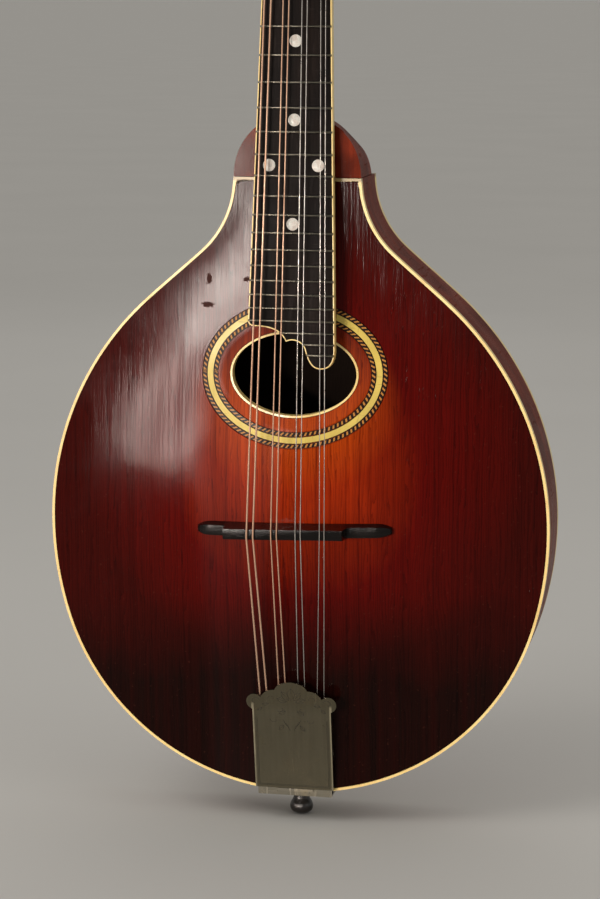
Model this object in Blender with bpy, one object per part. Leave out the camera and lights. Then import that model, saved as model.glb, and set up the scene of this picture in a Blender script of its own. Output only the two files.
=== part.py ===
# A-style mandolin: carved oval-hole body, eight strings, worm tuners and a slide-on tailpiece cover.
# Frame: +Z runs up the neck, the face looks towards -Y and +X is the treble side.
# The origin is the centre of the end pin's flat face.

import math

import bmesh
import bpy
import numpy as np
from mathutils import Matrix, Vector
from mathutils.bvhtree import BVHTree

# Clearance kept between neighbouring pieces, and under pieces that sit on a carved face
GAP = 0.0003
SEAT_GAP = 0.0005

# Scale and strings
SCALE_LENGTH = 0.3524
COMPENSATION = 0.0011
NECK_TILT = math.radians(4.47)
STRING_RADII = (0.00051, 0.00043, 0.00019, 0.00014)
PAIR_GAPS = (0.0033, 0.0029, 0.0026, 0.0024)
NUT_STRING_SPREAD = 0.0244
BRIDGE_STRING_SPREAD = 0.0364
TAIL_STRING_SPREAD = 0.0288
TAIL_PAIR_GAP = 0.0036
STRING_SIDES = 8

# Body outline: radius and turn of each arc from the tail up, a straight, then the curve into the neck
TAIL_ARC = (0.12665, math.radians(73.08))
SIDE_ARC = (0.1706, math.radians(16.49))
SHOULDER_ARC = (0.1546, math.radians(50.0))
SHOULDER_STRAIGHT = 0.0322
NECK_ARC_RADIUS = 0.04964

# Mesh steps on the tail, side, shoulder, straight and neck stretches, and across the neck end
OUTLINE_STEPS = (12, 3, 9, 2, 6)
NECK_END_STEPS = 4

# Body shell
RIM_DEPTH = 0.0436
RIM_THICKNESS = 0.0022
PLATE_EDGE = 0.0038
PLATE_CENTRE = 0.0046
TOP_ARCH = 0.0140
BACK_ARCH = 0.0125
ARCH_CENTRE = 0.150
ARCH_FULLNESS = 1.15
ARCH_EASE = 7
GLUE_LEDGE = 0.92
BINDING_WIDTH = 0.0016
BINDING_DEPTH = 0.0038
BACK_BINDING_WIDTH = 0.0012
LINING_WIDTH = 0.0060
LINING_DEPTH = 0.0085
NECK_BLOCK_LENGTH = 0.038
TAIL_BLOCK_LENGTH = 0.018
TAIL_BLOCK_WIDTH = 0.060
BRACE_POSITION = 0.184
BRACE_WIDTH = 0.0060
BRACE_DEPTH = 0.0090

# Sound hole and its inlays, as half widths across the body and along it
HOLE_CENTRE = 0.2184
HOLE_HALF_WIDTH = 0.0332
HOLE_HALF_LENGTH = 0.0218
HOLE_BINDING_WIDTH = 0.0014
ROSETTE_INNER_WIDTH = 0.0391
ROSETTE_INNER_LENGTH = 0.0286
PURFLING_WIDTH = 0.0024
ROSETTE_RING_WIDTH = 0.0035
INLAY_DEPTH = 0.0010

# Neck and headstock
NUT_WIDTH = 0.0304
FRETBOARD_TAPER = 0.0258
BRIDGE_LINE = 0.140275
BOARD_RISE = 0.00924
SHOULDER_LENGTH = 0.0315
SHOULDER_SQUARENESS = 2.1
SHAFT_DEPTH_NUT = 0.0155
SHAFT_DEPTH_HEEL = 0.0185
HEAD_ANGLE = math.radians(14.0)
HEAD_LENGTH = 0.158
HEAD_THICKNESS = 0.0130
HEAD_WIDTH_BASE = 0.064
HEAD_WIDTH_TOP = 0.072
HEAD_FLARE_LENGTH = 0.026
HEAD_CROWN = 0.012
VENEER_THICKNESS = 0.0015

# Fretboard, frets and dots
FRETBOARD_THICKNESS = 0.0050
FRET_COUNT = 24
FRET_HEIGHT = 0.0009
FRET_WIDTH = 0.0014
BOARD_END_ABOVE_HOLE = 0.02456
EXTENSION_LENGTH = 0.0206
EXTENSION_MIDDLE = 0.0153
CUSP_OFFSET = -0.0024
CUSP_DROP = 0.0074
SIDE_INSET = 0.0003
TONGUE_OVERLAP = 0.0120
TONGUE_SETBACK = 0.0040
FRETBOARD_BINDING = 0.0014
DOT_RADIUS = 0.0031
DOT_DEPTH = 0.0010
SINGLE_DOT_FRETS = (5, 7, 10, 15)
DOUBLE_DOT_FRET = 12
DOUBLE_DOT_OFFSET = 0.0123

# Nut
NUT_LENGTH = 0.0045
NUT_RISE = 0.0016
SLOT_DEPTH = 0.0006

# Bridge
BRIDGE_SPAN = 0.0994
BRIDGE_OFFSET = 0.0012
BRIDGE_FOOT = 0.0074
BRIDGE_TOP = 0.0052
BRIDGE_SLANT = math.radians(1.3)
STRING_HEIGHT_12 = 0.0018
SADDLE_LEFT = -0.0322
SADDLE_RIGHT = 0.0280
WING_HEIGHT = 0.0058
SADDLE_STAGGER = 0.0030

# Tailpiece
TAIL_SHEET = 0.0009
TAIL_BASE_TOP = 0.0500
TAIL_BASE_DROP = 0.0330
HOOK_LINE = 0.0440
HOOK_RADIUS = 0.0008
HOOK_HEIGHT = 0.0012
TAIL_STRING_HEIGHT = 0.0085
BASE_CORNER = 0.0010
STOP_LIP = 0.0012
COVER_HALF_WIDTH = 0.0203
COVER_SHEET = 0.0008
COVER_BOTTOM = 0.0030
COVER_TOP = 0.0465
COVER_LOBE = (0.0191, 0.0506)
COVER_LOBE_RADIUS = 0.0043
COVER_SCALLOP = (0.0084, 0.0576)
COVER_PEAK = 0.0622
COVER_LIFT = 0.0016
FLANGE_INSET = 0.0001

# End pin
PIN_LENGTH = 0.0152
PIN_INSET = 0.0160
PIN_SHANK_RADIUS = 0.0038
PIN_NECK_RADIUS = 0.0040
PIN_HEAD_RADIUS = 0.0063
PIN_FACE_RADIUS = 0.0042
PIN_SHANK_LENGTH = 0.0160

# Tuners
TUNER_SPACING = 0.0230
FIRST_TUNER = 0.0400
POST_OFFSET = 0.0175
POST_RADIUS = 0.0030
POST_HEIGHT = 0.0150
WRAP_RADIUS = 0.0037
WRAP_LOW = 0.0045
WRAP_HIGH = 0.0085
GEAR_RADIUS = 0.0056
GEAR_TEETH = 12
GEAR_THICKNESS = 0.0030
WORM_RADIUS = 0.0022
WORM_SHAFT_RADIUS = 0.0014
WORM_LENGTH = 0.0080
TUNER_PLATE_THICKNESS = 0.0012
TUNER_PLATE_WIDTH = 0.0140
LUG_THICKNESS = 0.0018
BUTTON_OVERHANG = 0.0075
BUTTON_LENGTH = 0.0140
BUTTON_HALF_WIDTH = 0.0072
BUTTON_HALF_THICKNESS = 0.0038
BEARING_GAP = 0.0002

# Screws
SCREW_RADIUS = 0.0013
SCREW_HEAD_RADIUS = 0.0024
SCREW_LENGTH = 0.0080
SCREW_PLACES = ((-0.0120, -0.0050), (0.0120, -0.0050), (0.0, 0.0125))

# Material colours: name, base colour, roughness, metallic
FINISHES = {
    "spruce_top": ((0.145, 0.018, 0.006, 1.0), 0.25, 0.0),
    "maple_back": ((0.130, 0.022, 0.010, 1.0), 0.25, 0.0),
    "neck_wood": ((0.110, 0.025, 0.012, 1.0), 0.28, 0.0),
    "bare_wood": ((0.420, 0.260, 0.130, 1.0), 0.70, 0.0),
    "ivory": ((0.780, 0.620, 0.330, 1.0), 0.35, 0.0),
    "rope_inlay": ((0.320, 0.170, 0.060, 1.0), 0.45, 0.0),
    "ebony": ((0.016, 0.013, 0.012, 1.0), 0.38, 0.0),
    "pearl": ((0.600, 0.590, 0.540, 1.0), 0.22, 0.0),
    "bone": ((0.760, 0.700, 0.560, 1.0), 0.40, 0.0),
    "nickel": ((0.560, 0.540, 0.480, 1.0), 0.22, 1.0),
    "brass": ((0.620, 0.440, 0.200, 1.0), 0.32, 1.0),
    "steel": ((0.620, 0.620, 0.620, 1.0), 0.28, 1.0),
    "bronze": ((0.600, 0.360, 0.210, 1.0), 0.35, 1.0),
    "button": ((0.700, 0.600, 0.420, 1.0), 0.35, 0.0),
}

TAIL_Z = PIN_LENGTH
FRONT_Y = -PIN_INSET


def clear_scene():
    for item in list(bpy.data.objects):
        bpy.data.objects.remove(item, do_unlink=True)


def finish(name, owner):
    """Make one piece's own material, in the named finish."""
    colour, roughness, metallic = FINISHES[name]
    material = bpy.data.materials.new(owner)
    material.use_nodes = True
    shader = material.node_tree.nodes["Principled BSDF"]
    shader.inputs["Base Color"].default_value = colour
    shader.inputs["Roughness"].default_value = roughness
    shader.inputs["Metallic"].default_value = metallic
    material.diffuse_color = colour
    return material


def add_object(name, mesh, finish_name, matrix=None, parent=None):
    """Link one mesh to the scene as a named piece."""
    item = bpy.data.objects.new(name, mesh)
    bpy.context.scene.collection.objects.link(item)
    mesh.materials.clear()
    mesh.materials.append(finish(finish_name, name))
    mesh.shade_smooth()
    mesh.set_sharp_from_angle(angle=math.radians(32))
    if parent is not None:
        item.parent = parent
    if matrix is not None:
        item.matrix_basis = matrix
    return item


def mesh_from(points, faces):
    """Build a mesh whose faces are made to look outwards."""
    mesh = bpy.data.meshes.new("piece")
    mesh.from_pydata([tuple(point) for point in points], [], faces)
    work = bmesh.new()
    work.from_mesh(mesh)
    bmesh.ops.recalc_face_normals(work, faces=work.faces)
    if work.calc_volume(signed=True) < 0:
        bmesh.ops.reverse_faces(work, faces=work.faces)
    work.to_mesh(mesh)
    work.free()
    mesh.update()
    return mesh


def loft(rings, closed=False):
    """Skin equal rings of points; the ends are capped unless the loft closes on itself."""
    count = len(rings[0])
    points = [point for ring in rings for point in ring]
    faces = []
    last = len(rings) if closed else len(rings) - 1
    for i in range(last):
        low = i * count
        high = ((i + 1) % len(rings)) * count
        for j in range(count):
            k = (j + 1) % count
            faces.append((low + j, low + k, high + k, high + j))
    if not closed:
        faces.append(tuple(range(count)))
        faces.append(tuple(range((len(rings) - 1) * count, len(rings) * count)))
    return mesh_from(points, faces)


def turned(profile, sides, matrix=None):
    """Turn a profile of (radius, height) pairs about Z; the ends are flat."""
    rings = []
    for radius, height in profile:
        ring = []
        for i in range(sides):
            angle = 2 * math.pi * i / sides
            ring.append(Vector((radius * math.cos(angle), radius * math.sin(angle), height)))
        rings.append(ring)
    mesh = loft(rings)
    if matrix is not None:
        mesh.transform(matrix)
    return mesh


def prism(outline, low, high, axis="Y"):
    """Extrude an outline of (x, z) or (x, y) pairs between two levels."""
    def place(pair, level):
        if axis == "Y":
            return Vector((pair[0], level, pair[1]))
        if axis == "X":
            return Vector((level, pair[0], pair[1]))
        return Vector((pair[0], pair[1], level))
    return loft([[place(pair, low) for pair in outline], [place(pair, high) for pair in outline]])


def box(x, y, z):
    """A block between the limits of each axis."""
    outline = [(x[0], z[0]), (x[1], z[0]), (x[1], z[1]), (x[0], z[1])]
    return prism(outline, y[0], y[1])


def combine(base, others, operation):
    """Join meshes to a base, or cut them from it, as exact solids."""
    first = bpy.data.objects.new("base", base)
    bpy.context.scene.collection.objects.link(first)
    tools = []
    for mesh in others:
        tool = bpy.data.objects.new("tool", mesh)
        bpy.context.scene.collection.objects.link(tool)
        tools.append(tool)
        modifier = first.modifiers.new("cut", "BOOLEAN")
        modifier.operation = operation
        modifier.solver = "EXACT"
        modifier.object = tool
    bpy.context.view_layer.update()
    graph = bpy.context.evaluated_depsgraph_get()
    result = bpy.data.meshes.new_from_object(first.evaluated_get(graph))
    for item in [first] + tools:
        bpy.data.objects.remove(item, do_unlink=True)
    return result


def union(base, *others):
    return combine(base, others, "UNION")


def cut(base, *others):
    return combine(base, others, "DIFFERENCE")


def outline_half(inset=0.0, steps=OUTLINE_STEPS):
    """Body outline from the tail's middle to the neck end, moved inwards by the inset."""
    turned_so_far = TAIL_ARC[1] + SIDE_ARC[1] + SHOULDER_ARC[1]
    stretches = (
        (TAIL_ARC[0], TAIL_ARC[1]),
        (SIDE_ARC[0], SIDE_ARC[1]),
        (SHOULDER_ARC[0], SHOULDER_ARC[1]),
        (None, SHOULDER_STRAIGHT),
        (-NECK_ARC_RADIUS, math.pi / 2 - turned_so_far),
    )
    x, z, heading = 0.0, TAIL_Z, 0.0
    points = [(0.0, TAIL_Z + inset)]
    for (radius, amount), count in zip(stretches, steps):
        for i in range(1, count + 1):
            part = amount * i / count
            if radius is None:
                px = x + part * math.cos(heading)
                pz = z + part * math.sin(heading)
                turn = heading
            else:
                turn = heading + part
                px = x + radius * (math.sin(turn) - math.sin(heading))
                pz = z - radius * (math.cos(turn) - math.cos(heading))
            points.append((px - inset * math.sin(turn), pz + inset * math.cos(turn)))
        if radius is None:
            x, z = px, pz
        else:
            x += radius * (math.sin(turn) - math.sin(heading))
            z -= radius * (math.cos(turn) - math.cos(heading))
            heading = turn
    return points


NECK_END_HALF, NECK_END_Z = outline_half()[-1]
NUT_Z = TAIL_Z + BRIDGE_LINE + (SCALE_LENGTH + COMPENSATION) * math.cos(NECK_TILT)
BOARD_END = (NUT_Z - TAIL_Z - HOLE_CENTRE - BOARD_END_ABOVE_HOLE) / math.cos(NECK_TILT)


def outline_loop(inset=0.0, end_inset=None):
    """Closed body outline, with the straight across the neck end set back by its own inset."""
    if end_inset is None:
        end_inset = inset
    right = outline_half(inset)
    end_x = right[-1][0]
    end_z = NECK_END_Z - end_inset
    right[-1] = (end_x, end_z)
    across = [(end_x * (1 - 2 * i / NECK_END_STEPS), end_z) for i in range(1, NECK_END_STEPS)]
    left = [(-x, z) for x, z in reversed(right[1:])]
    return right + across + left


def edge_table():
    """Reach of the arch in each direction from its centre, eased inside the outline's corners."""
    loop = outline_loop()
    polar = []
    for (x0, z0), (x1, z1) in zip(loop, loop[1:] + loop[:1]):
        for i in range(12):
            x = x0 + (x1 - x0) * i / 12
            z = z0 + (z1 - z0) * i / 12 - TAIL_Z - ARCH_CENTRE
            polar.append((math.atan2(z, x), math.hypot(x, z)))
    polar.sort()
    polar = np.array(polar)
    angles = np.radians(np.arange(-180, 180, 1.0))
    reach = np.interp(angles, polar[:, 0], polar[:, 1], period=2 * math.pi)
    turns = range(-ARCH_EASE, ARCH_EASE + 1)
    nearest = np.min([np.roll(reach, turn) for turn in turns], axis=0)
    eased = np.mean([np.roll(nearest, turn) for turn in turns], axis=0)
    return np.column_stack([angles, eased])


EDGE = edge_table()


def crown(x, z, ledge=1.0):
    """Share of the arch at a place: 1 at its centre, 0 at the edge."""
    dz = z - TAIL_Z - ARCH_CENTRE
    reach = np.interp(math.atan2(dz, x), EDGE[:, 0], EDGE[:, 1], period=2 * math.pi)
    share = min(math.hypot(x, dz) / (reach * ledge), 1.0)
    return 0.5 * (1 + math.cos(math.pi * share ** ARCH_FULLNESS))


def top_outer(x, z):
    return FRONT_Y - TOP_ARCH * crown(x, z)


def top_inner(x, z):
    rise = TOP_ARCH - (PLATE_CENTRE - PLATE_EDGE)
    return FRONT_Y + PLATE_EDGE - rise * crown(x, z, GLUE_LEDGE)


def back_outer(x, z):
    return FRONT_Y + RIM_DEPTH + BACK_ARCH * crown(x, z)


def back_inner(x, z):
    rise = BACK_ARCH - (PLATE_CENTRE - PLATE_EDGE)
    return FRONT_Y + RIM_DEPTH - PLATE_EDGE + rise * crown(x, z, GLUE_LEDGE)


def hole_angles():
    """One angle for each outline point, as seen from the sound hole's centre."""
    angles = []
    for x, z in outline_loop():
        dz = z - TAIL_Z - HOLE_CENTRE
        angles.append(math.atan2(dz * HOLE_HALF_WIDTH, x * HOLE_HALF_LENGTH))
    return angles


def ellipse(half_width, half_length):
    """An oval about the sound hole's centre, as (x, z) pairs."""
    middle = TAIL_Z + HOLE_CENTRE
    return [(half_width * math.cos(a), middle + half_length * math.sin(a)) for a in hole_angles()]


def rosette_oval(offset):
    """An oval of the rosette, a distance outside its inner edge."""
    return ellipse(ROSETTE_INNER_WIDTH + offset, ROSETTE_INNER_LENGTH + offset)


def raised(pairs, surface, shift=0.0):
    """Lay (x, z) pairs on a surface."""
    return [Vector((x, surface(x, z) + shift, z)) for x, z in pairs]


def between(inner, outer, share):
    return [(a[0] + (b[0] - a[0]) * share, a[1] + (b[1] - a[1]) * share) for a, b in zip(inner, outer)]


ROSETTE_WIDTH = 2 * PURFLING_WIDTH + ROSETTE_RING_WIDTH


def top_plate_mesh():
    hole = ellipse(HOLE_HALF_WIDTH + GAP, HOLE_HALF_LENGTH + GAP)
    edge = outline_loop(BINDING_WIDTH + GAP)
    inner = rosette_oval(-GAP)
    outer = rosette_oval(ROSETTE_WIDTH + GAP)
    rings = [raised(hole, top_outer), raised(inner, top_outer)]
    rings.append(raised(inner, top_outer, INLAY_DEPTH))
    rings.append(raised(outer, top_outer, INLAY_DEPTH))
    rings.append(raised(outer, top_outer))
    for share in (0.2, 0.4, 0.6, 0.8, 0.91):
        rings.append(raised(between(outer, edge, share), top_outer))
    rings.append(raised(edge, lambda x, z: FRONT_Y))
    rings.append(raised(edge, lambda x, z: FRONT_Y + PLATE_EDGE))
    for share in (0.85, 0.6, 0.33):
        rings.append(raised(between(hole, edge, share), top_inner))
    rings.append(raised(hole, top_inner))
    return loft(rings, closed=True)


def dome(edge, outer_surface, inner_surface, outer_rim, inner_rim):
    """A carved plate without a hole: two curved faces joined at the edge."""
    middle = (0.0, TAIL_Z + ARCH_CENTRE)
    pole = [middle] * len(edge)
    rings = []
    for share in (0.25, 0.5, 0.72, 0.9):
        rings.append(raised(between(pole, edge, share), outer_surface))
    rings.append([Vector((x, outer_rim, z)) for x, z in edge])
    rings.append([Vector((x, inner_rim, z)) for x, z in edge])
    for share in (0.8, 0.5, 0.25):
        rings.append(raised(between(pole, edge, share), inner_surface))
    count = len(edge)
    points = [point for ring in rings for point in ring]
    faces = []
    for i in range(len(rings) - 1):
        for j in range(count):
            k = (j + 1) % count
            faces.append((i * count + j, i * count + k, (i + 1) * count + k, (i + 1) * count + j))
    points.append(Vector((middle[0], outer_surface(*middle), middle[1])))
    points.append(Vector((middle[0], inner_surface(*middle), middle[1])))
    first = 0
    last = (len(rings) - 1) * count
    for j in range(count):
        k = (j + 1) % count
        faces.append((first + j, first + k, len(points) - 2))
        faces.append((last + j, last + k, len(points) - 1))
    return mesh_from(points, faces)


def back_plate_mesh():
    edge = outline_loop(BACK_BINDING_WIDTH + GAP)
    rim = FRONT_Y + RIM_DEPTH
    return dome(edge, back_outer, back_inner, rim, rim - PLATE_EDGE)


def band(outer, inner, low, high):
    """A closed band between two outlines and two surfaces."""
    rings = [raised(outer, low), raised(outer, high), raised(inner, high), raised(inner, low)]
    return loft(rings, closed=True)


def strip(outer, inner, low, high, taper=0.0):
    """An open strip along two outlines; its inner side can be shallower."""
    rings = []
    for a, b in zip(outer, inner):
        rings.append([
            Vector((a[0], low, a[1])),
            Vector((a[0], high, a[1])),
            Vector((b[0], high - max(taper, 0.0), b[1])),
            Vector((b[0], low - min(taper, 0.0), b[1])),
        ])
    return loft(rings)


RIM_FRONT = FRONT_Y + max(PLATE_EDGE, BINDING_DEPTH) + GAP
RIM_BACK = FRONT_Y + RIM_DEPTH - max(PLATE_EDGE, BINDING_DEPTH) - GAP


def whole_side(inset):
    right = outline_half(inset)
    return [(-x, z) for x, z in reversed(right[1:])] + right


def pin_bore(low, high):
    """A cutter for the end pin's hole, along Z."""
    radius = PIN_SHANK_RADIUS + GAP
    return turned([(radius, low), (radius, high)], 16)


def screw_bores(low, high):
    """Cutters for the tailpiece screws' holes, along Z."""
    radius = SCREW_RADIUS + GAP
    return [turned([(radius, low), (radius, high)], 10, Matrix.Translation((x, y, 0)))
            for x, y in SCREW_PLACES]


def tail_bores(low, high):
    return [pin_bore(low, high)] + screw_bores(low, high)


def rim_mesh():
    shell = strip(whole_side(0.0), whole_side(RIM_THICKNESS), RIM_FRONT, RIM_BACK)
    return cut(shell, *tail_bores(TAIL_Z - RIM_THICKNESS, TAIL_Z + 2 * RIM_THICKNESS))


def lining_mesh(side, back):
    """A tapered strip in the corner between the rim and a plate."""
    outer = []
    inner = []
    near = outline_half(RIM_THICKNESS + GAP)
    far = outline_half(RIM_THICKNESS + GAP + LINING_WIDTH)
    top = NECK_END_Z - NECK_BLOCK_LENGTH - GAP
    for a, b in zip(near, far):
        if min(a[0], b[0]) > TAIL_BLOCK_WIDTH / 2 + GAP and max(a[1], b[1]) < top:
            outer.append((side * a[0], a[1]))
            inner.append((side * b[0], b[1]))
    if back:
        face = FRONT_Y + RIM_DEPTH - PLATE_EDGE - GAP
        return strip(outer, inner, face - LINING_DEPTH, face, -0.6 * LINING_DEPTH)
    face = FRONT_Y + PLATE_EDGE + GAP
    return strip(outer, inner, face, face + LINING_DEPTH, 0.6 * LINING_DEPTH)


def block_span():
    return FRONT_Y + PLATE_EDGE + GAP, FRONT_Y + RIM_DEPTH - PLATE_EDGE - GAP


def neck_block_mesh():
    low_z = NECK_END_Z - NECK_BLOCK_LENGTH
    curve = [(x, z) for x, z in outline_half(RIM_THICKNESS + GAP) if z > low_z]
    right = [(curve[0][0], low_z)] + curve
    outline = right + [(-x, z) for x, z in reversed(right)]
    return prism(outline, *block_span())


def tail_block_mesh():
    half = TAIL_BLOCK_WIDTH / 2
    side = outline_half(RIM_THICKNESS + GAP)
    count = next(i for i, (x, z) in enumerate(side) if x > half)
    (x0, z0), (x1, z1) = side[count - 1:count + 1]
    corner = (half, z0 + (z1 - z0) * (half - x0) / (x1 - x0))
    right = side[:count] + [corner, (half, TAIL_Z + RIM_THICKNESS + TAIL_BLOCK_LENGTH)]
    outline = right + [(-x, z) for x, z in reversed(right[1:])]
    block = prism(outline, *block_span())
    return cut(block, *tail_bores(TAIL_Z, TAIL_Z + 2 * TAIL_BLOCK_LENGTH))


class Surface:
    """The real faceted face of a plate, for seating pieces on it."""

    def __init__(self, mesh, start, direction):
        work = bmesh.new()
        work.from_mesh(mesh)
        self.tree = BVHTree.FromBMesh(work)
        work.free()
        self.start = start
        self.direction = direction

    def __call__(self, x, z):
        hit = self.tree.ray_cast(Vector((x, self.start, z)), Vector((0, self.direction, 0)))
        return hit[0].y


def brace_mesh(inner_face):
    """A bar across the top's inside, below the sound hole."""
    middle = TAIL_Z + BRACE_POSITION
    widest = max(x for x, z in outline_half(RIM_THICKNESS + LINING_WIDTH + 2 * GAP)
                 if z > middle + BRACE_WIDTH)
    limit = widest - GAP
    rings = []
    count = 16
    for i in range(count + 1):
        x = limit * (2 * i / count - 1)
        depth = BRACE_DEPTH * (1 - 0.55 * abs(x / limit) ** 4)
        low = middle - BRACE_WIDTH / 2
        high = middle + BRACE_WIDTH / 2
        a = inner_face(x, low) + 2 * GAP
        b = inner_face(x, high) + 2 * GAP
        deep = max(a, b) + depth
        rings.append([Vector((x, a, low)), Vector((x, b, high)),
                      Vector((x, deep, high)), Vector((x, deep, low))])
    return loft(rings)


def build_body():
    """Make the plates, rim, blocks, linings, bindings and inlays; return the plates' faces."""
    top = top_plate_mesh()
    outer_face = Surface(top, FRONT_Y - 2 * TOP_ARCH, 1)
    inner_face = Surface(top, FRONT_Y + RIM_DEPTH / 2, -1)
    add_object("top_plate", top, "spruce_top")
    add_object("back_plate", back_plate_mesh(), "maple_back")
    add_object("rim", rim_mesh(), "maple_back")
    for side, word in ((-1, "bass"), (1, "treble")):
        add_object("top_lining_" + word, lining_mesh(side, False), "bare_wood")
        add_object("back_lining_" + word, lining_mesh(side, True), "bare_wood")
    add_object("neck_block", neck_block_mesh(), "bare_wood")
    add_object("tail_block", tail_block_mesh(), "bare_wood")
    add_object("cross_brace", brace_mesh(inner_face), "bare_wood")
    front = FRONT_Y
    back = FRONT_Y + RIM_DEPTH
    add_object("top_binding", band(outline_loop(), outline_loop(BINDING_WIDTH),
                                   lambda x, z: front, lambda x, z: front + BINDING_DEPTH), "ivory")
    add_object("back_binding", band(outline_loop(), outline_loop(BACK_BINDING_WIDTH),
                                    lambda x, z: back - BINDING_DEPTH, lambda x, z: back), "ivory")
    lip = HOLE_BINDING_WIDTH
    add_object("soundhole_binding",
               band(ellipse(HOLE_HALF_WIDTH, HOLE_HALF_LENGTH),
                    ellipse(HOLE_HALF_WIDTH - lip, HOLE_HALF_LENGTH - lip), top_outer, top_inner), "ivory")
    inlays = (("rosette_purfling_inner", PURFLING_WIDTH, "rope_inlay"),
              ("rosette_ring", ROSETTE_RING_WIDTH, "ivory"),
              ("rosette_purfling_outer", PURFLING_WIDTH, "rope_inlay"))
    start = 0.0
    for name, width, look in inlays:
        inner = rosette_oval(start + GAP / 2)
        outer = rosette_oval(start + width - GAP / 2)
        floor = INLAY_DEPTH - GAP
        add_object(name, band(outer, inner, top_outer, lambda x, z: top_outer(x, z) + floor), look)
        start += width
    return outer_face, inner_face


# Frames: the fretboard's face at the nut, and the headstock's face behind the nut
BOARD_NUT_Y = FRONT_Y - BOARD_RISE + (NUT_Z - NECK_END_Z) * math.tan(NECK_TILT)
BOARD = Matrix.Translation((0, BOARD_NUT_Y, NUT_Z)) @ Matrix.Rotation(math.pi / 2 - NECK_TILT, 4, "X")
HEAD_BACKSET = NUT_LENGTH + 2 * GAP
HEAD = BOARD @ Matrix.Translation((0, HEAD_BACKSET, VENEER_THICKNESS - FRETBOARD_THICKNESS)) @ (
    Matrix.Rotation(-HEAD_ANGLE, 4, "X"))


def board(x, distance, height):
    """A point on the fretboard: across, down from the nut, above its face."""
    return BOARD @ Vector((x, -distance, height))


def board_half(distance):
    return NUT_WIDTH / 2 + FRETBOARD_TAPER * distance


def fret_distance(number):
    return SCALE_LENGTH * (1 - 2 ** (-number / 12))


def bezier(a, b, c, d, count):
    """Points along a cubic curve, leaving out its start."""
    points = []
    for i in range(1, count + 1):
        t = i / count
        s = 1 - t
        points.append(tuple(s ** 3 * p + 3 * s * s * t * q + 3 * s * t * t * r + t ** 3 * w
                            for p, q, r, w in zip(a, b, c, d)))
    return points


def board_outline():
    """The fretboard's sides and its stepped end, from the bass side of the nut to the treble side."""
    end = BOARD_END
    tip = BOARD_END + EXTENSION_LENGTH
    bass = board_half(end)
    treble = board_half(tip)
    cusp = (CUSP_OFFSET, end + CUSP_DROP)
    hip = (EXTENSION_MIDDLE - 0.0083, end + CUSP_DROP + 0.0031)
    points = [(-board_half(0), 0.0), (-board_half(end / 2), end / 2), (-bass, end - 0.003)]
    points += bezier(points[-1], (-bass, end - 0.001), (-bass + 0.001, end), (-bass + 0.003, end), 3)
    points += bezier(points[-1], (-0.008, end), (-0.0045, end + 0.003), cusp, 5)
    points += bezier(cusp, (0.001, end + 0.0055), (hip[0] - 0.0015, end + 0.007), hip, 4)
    points += bezier(hip, (hip[0] + 0.0015, hip[1] + 0.0045),
                     (EXTENSION_MIDDLE - 0.0055, tip), (EXTENSION_MIDDLE, tip), 4)
    points += bezier(points[-1], (EXTENSION_MIDDLE + 0.005, tip), (treble, tip - 0.004),
                     (treble, tip - 0.009), 4)
    points += [(board_half(end / 2), end / 2), (board_half(0), 0.0)]
    return points


def offset_path(points, distance):
    """Move an open path to its left by a distance, with mitred corners."""
    moved = []
    for i, (x, z) in enumerate(points):
        before = Vector(points[i]) - Vector(points[i - 1]) if i else None
        after = Vector(points[i + 1]) - Vector(points[i]) if i + 1 < len(points) else None
        first = (before or after).normalized()
        second = (after or before).normalized()
        normal = Vector((-first.y, first.x)) + Vector((-second.y, second.x))
        normal.normalize()
        reach = min(1 / max(normal.dot(Vector((-first.y, first.x))), 0.5), 2.0)
        moved.append((x + normal.x * distance * reach, z + normal.y * distance * reach))
    return moved


def fret_profile():
    """Side view of the board with its frets, as (distance, height) pairs."""
    low = -FRETBOARD_THICKNESS
    far = BOARD_END + EXTENSION_LENGTH + 0.01
    points = [(-0.01, low), (-0.01, 0.0)]
    for number in range(1, FRET_COUNT + 1):
        at = fret_distance(number)
        points += [(at - FRET_WIDTH / 2, 0.0), (at - FRET_WIDTH / 4, FRET_HEIGHT),
                   (at + FRET_WIDTH / 4, FRET_HEIGHT), (at + FRET_WIDTH / 2, 0.0)]
    return points + [(far, 0.0), (far, low)]


def dot_places():
    places = []
    for number in SINGLE_DOT_FRETS:
        places.append((0.0, (fret_distance(number) + fret_distance(number - 1)) / 2))
    twin = (fret_distance(DOUBLE_DOT_FRET) + fret_distance(DOUBLE_DOT_FRET - 1)) / 2
    return places + [(-DOUBLE_DOT_OFFSET, twin), (DOUBLE_DOT_OFFSET, twin)]


def disc(radius, low, high, x, distance, sides=16):
    mesh = turned([(radius, low), (radius, high)], sides)
    mesh.transform(Matrix.Translation((x, -distance, 0)))
    return mesh


def fretboard_mesh():
    core = offset_path(board_outline(), -FRETBOARD_BINDING - GAP)
    outline = [(x, -distance) for x, distance in core]
    body = prism(outline, -0.02, 0.02, "Z")
    ridges = loft([[Vector((x, -d, h)) for d, h in fret_profile()] for x in (-0.04, 0.04)])
    mesh = combine(body, [ridges], "INTERSECT")
    pockets = [disc(DOT_RADIUS + GAP, -DOT_DEPTH - GAP, 0.002, x, d) for x, d in dot_places()]
    mesh = cut(mesh, *pockets)
    mesh.transform(BOARD)
    return mesh


def fretboard_binding_mesh():
    outer = [(x, -distance) for x, distance in board_outline()]
    inner = [(x, -distance) for x, distance in offset_path(board_outline(), -FRETBOARD_BINDING)]
    rings = [[Vector((a[0], a[1], -FRETBOARD_THICKNESS)), Vector((a[0], a[1], 0)),
              Vector((b[0], b[1], 0)), Vector((b[0], b[1], -FRETBOARD_THICKNESS))]
             for a, b in zip(outer, inner)]
    mesh = loft(rings)
    mesh.transform(BOARD)
    return mesh


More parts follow.
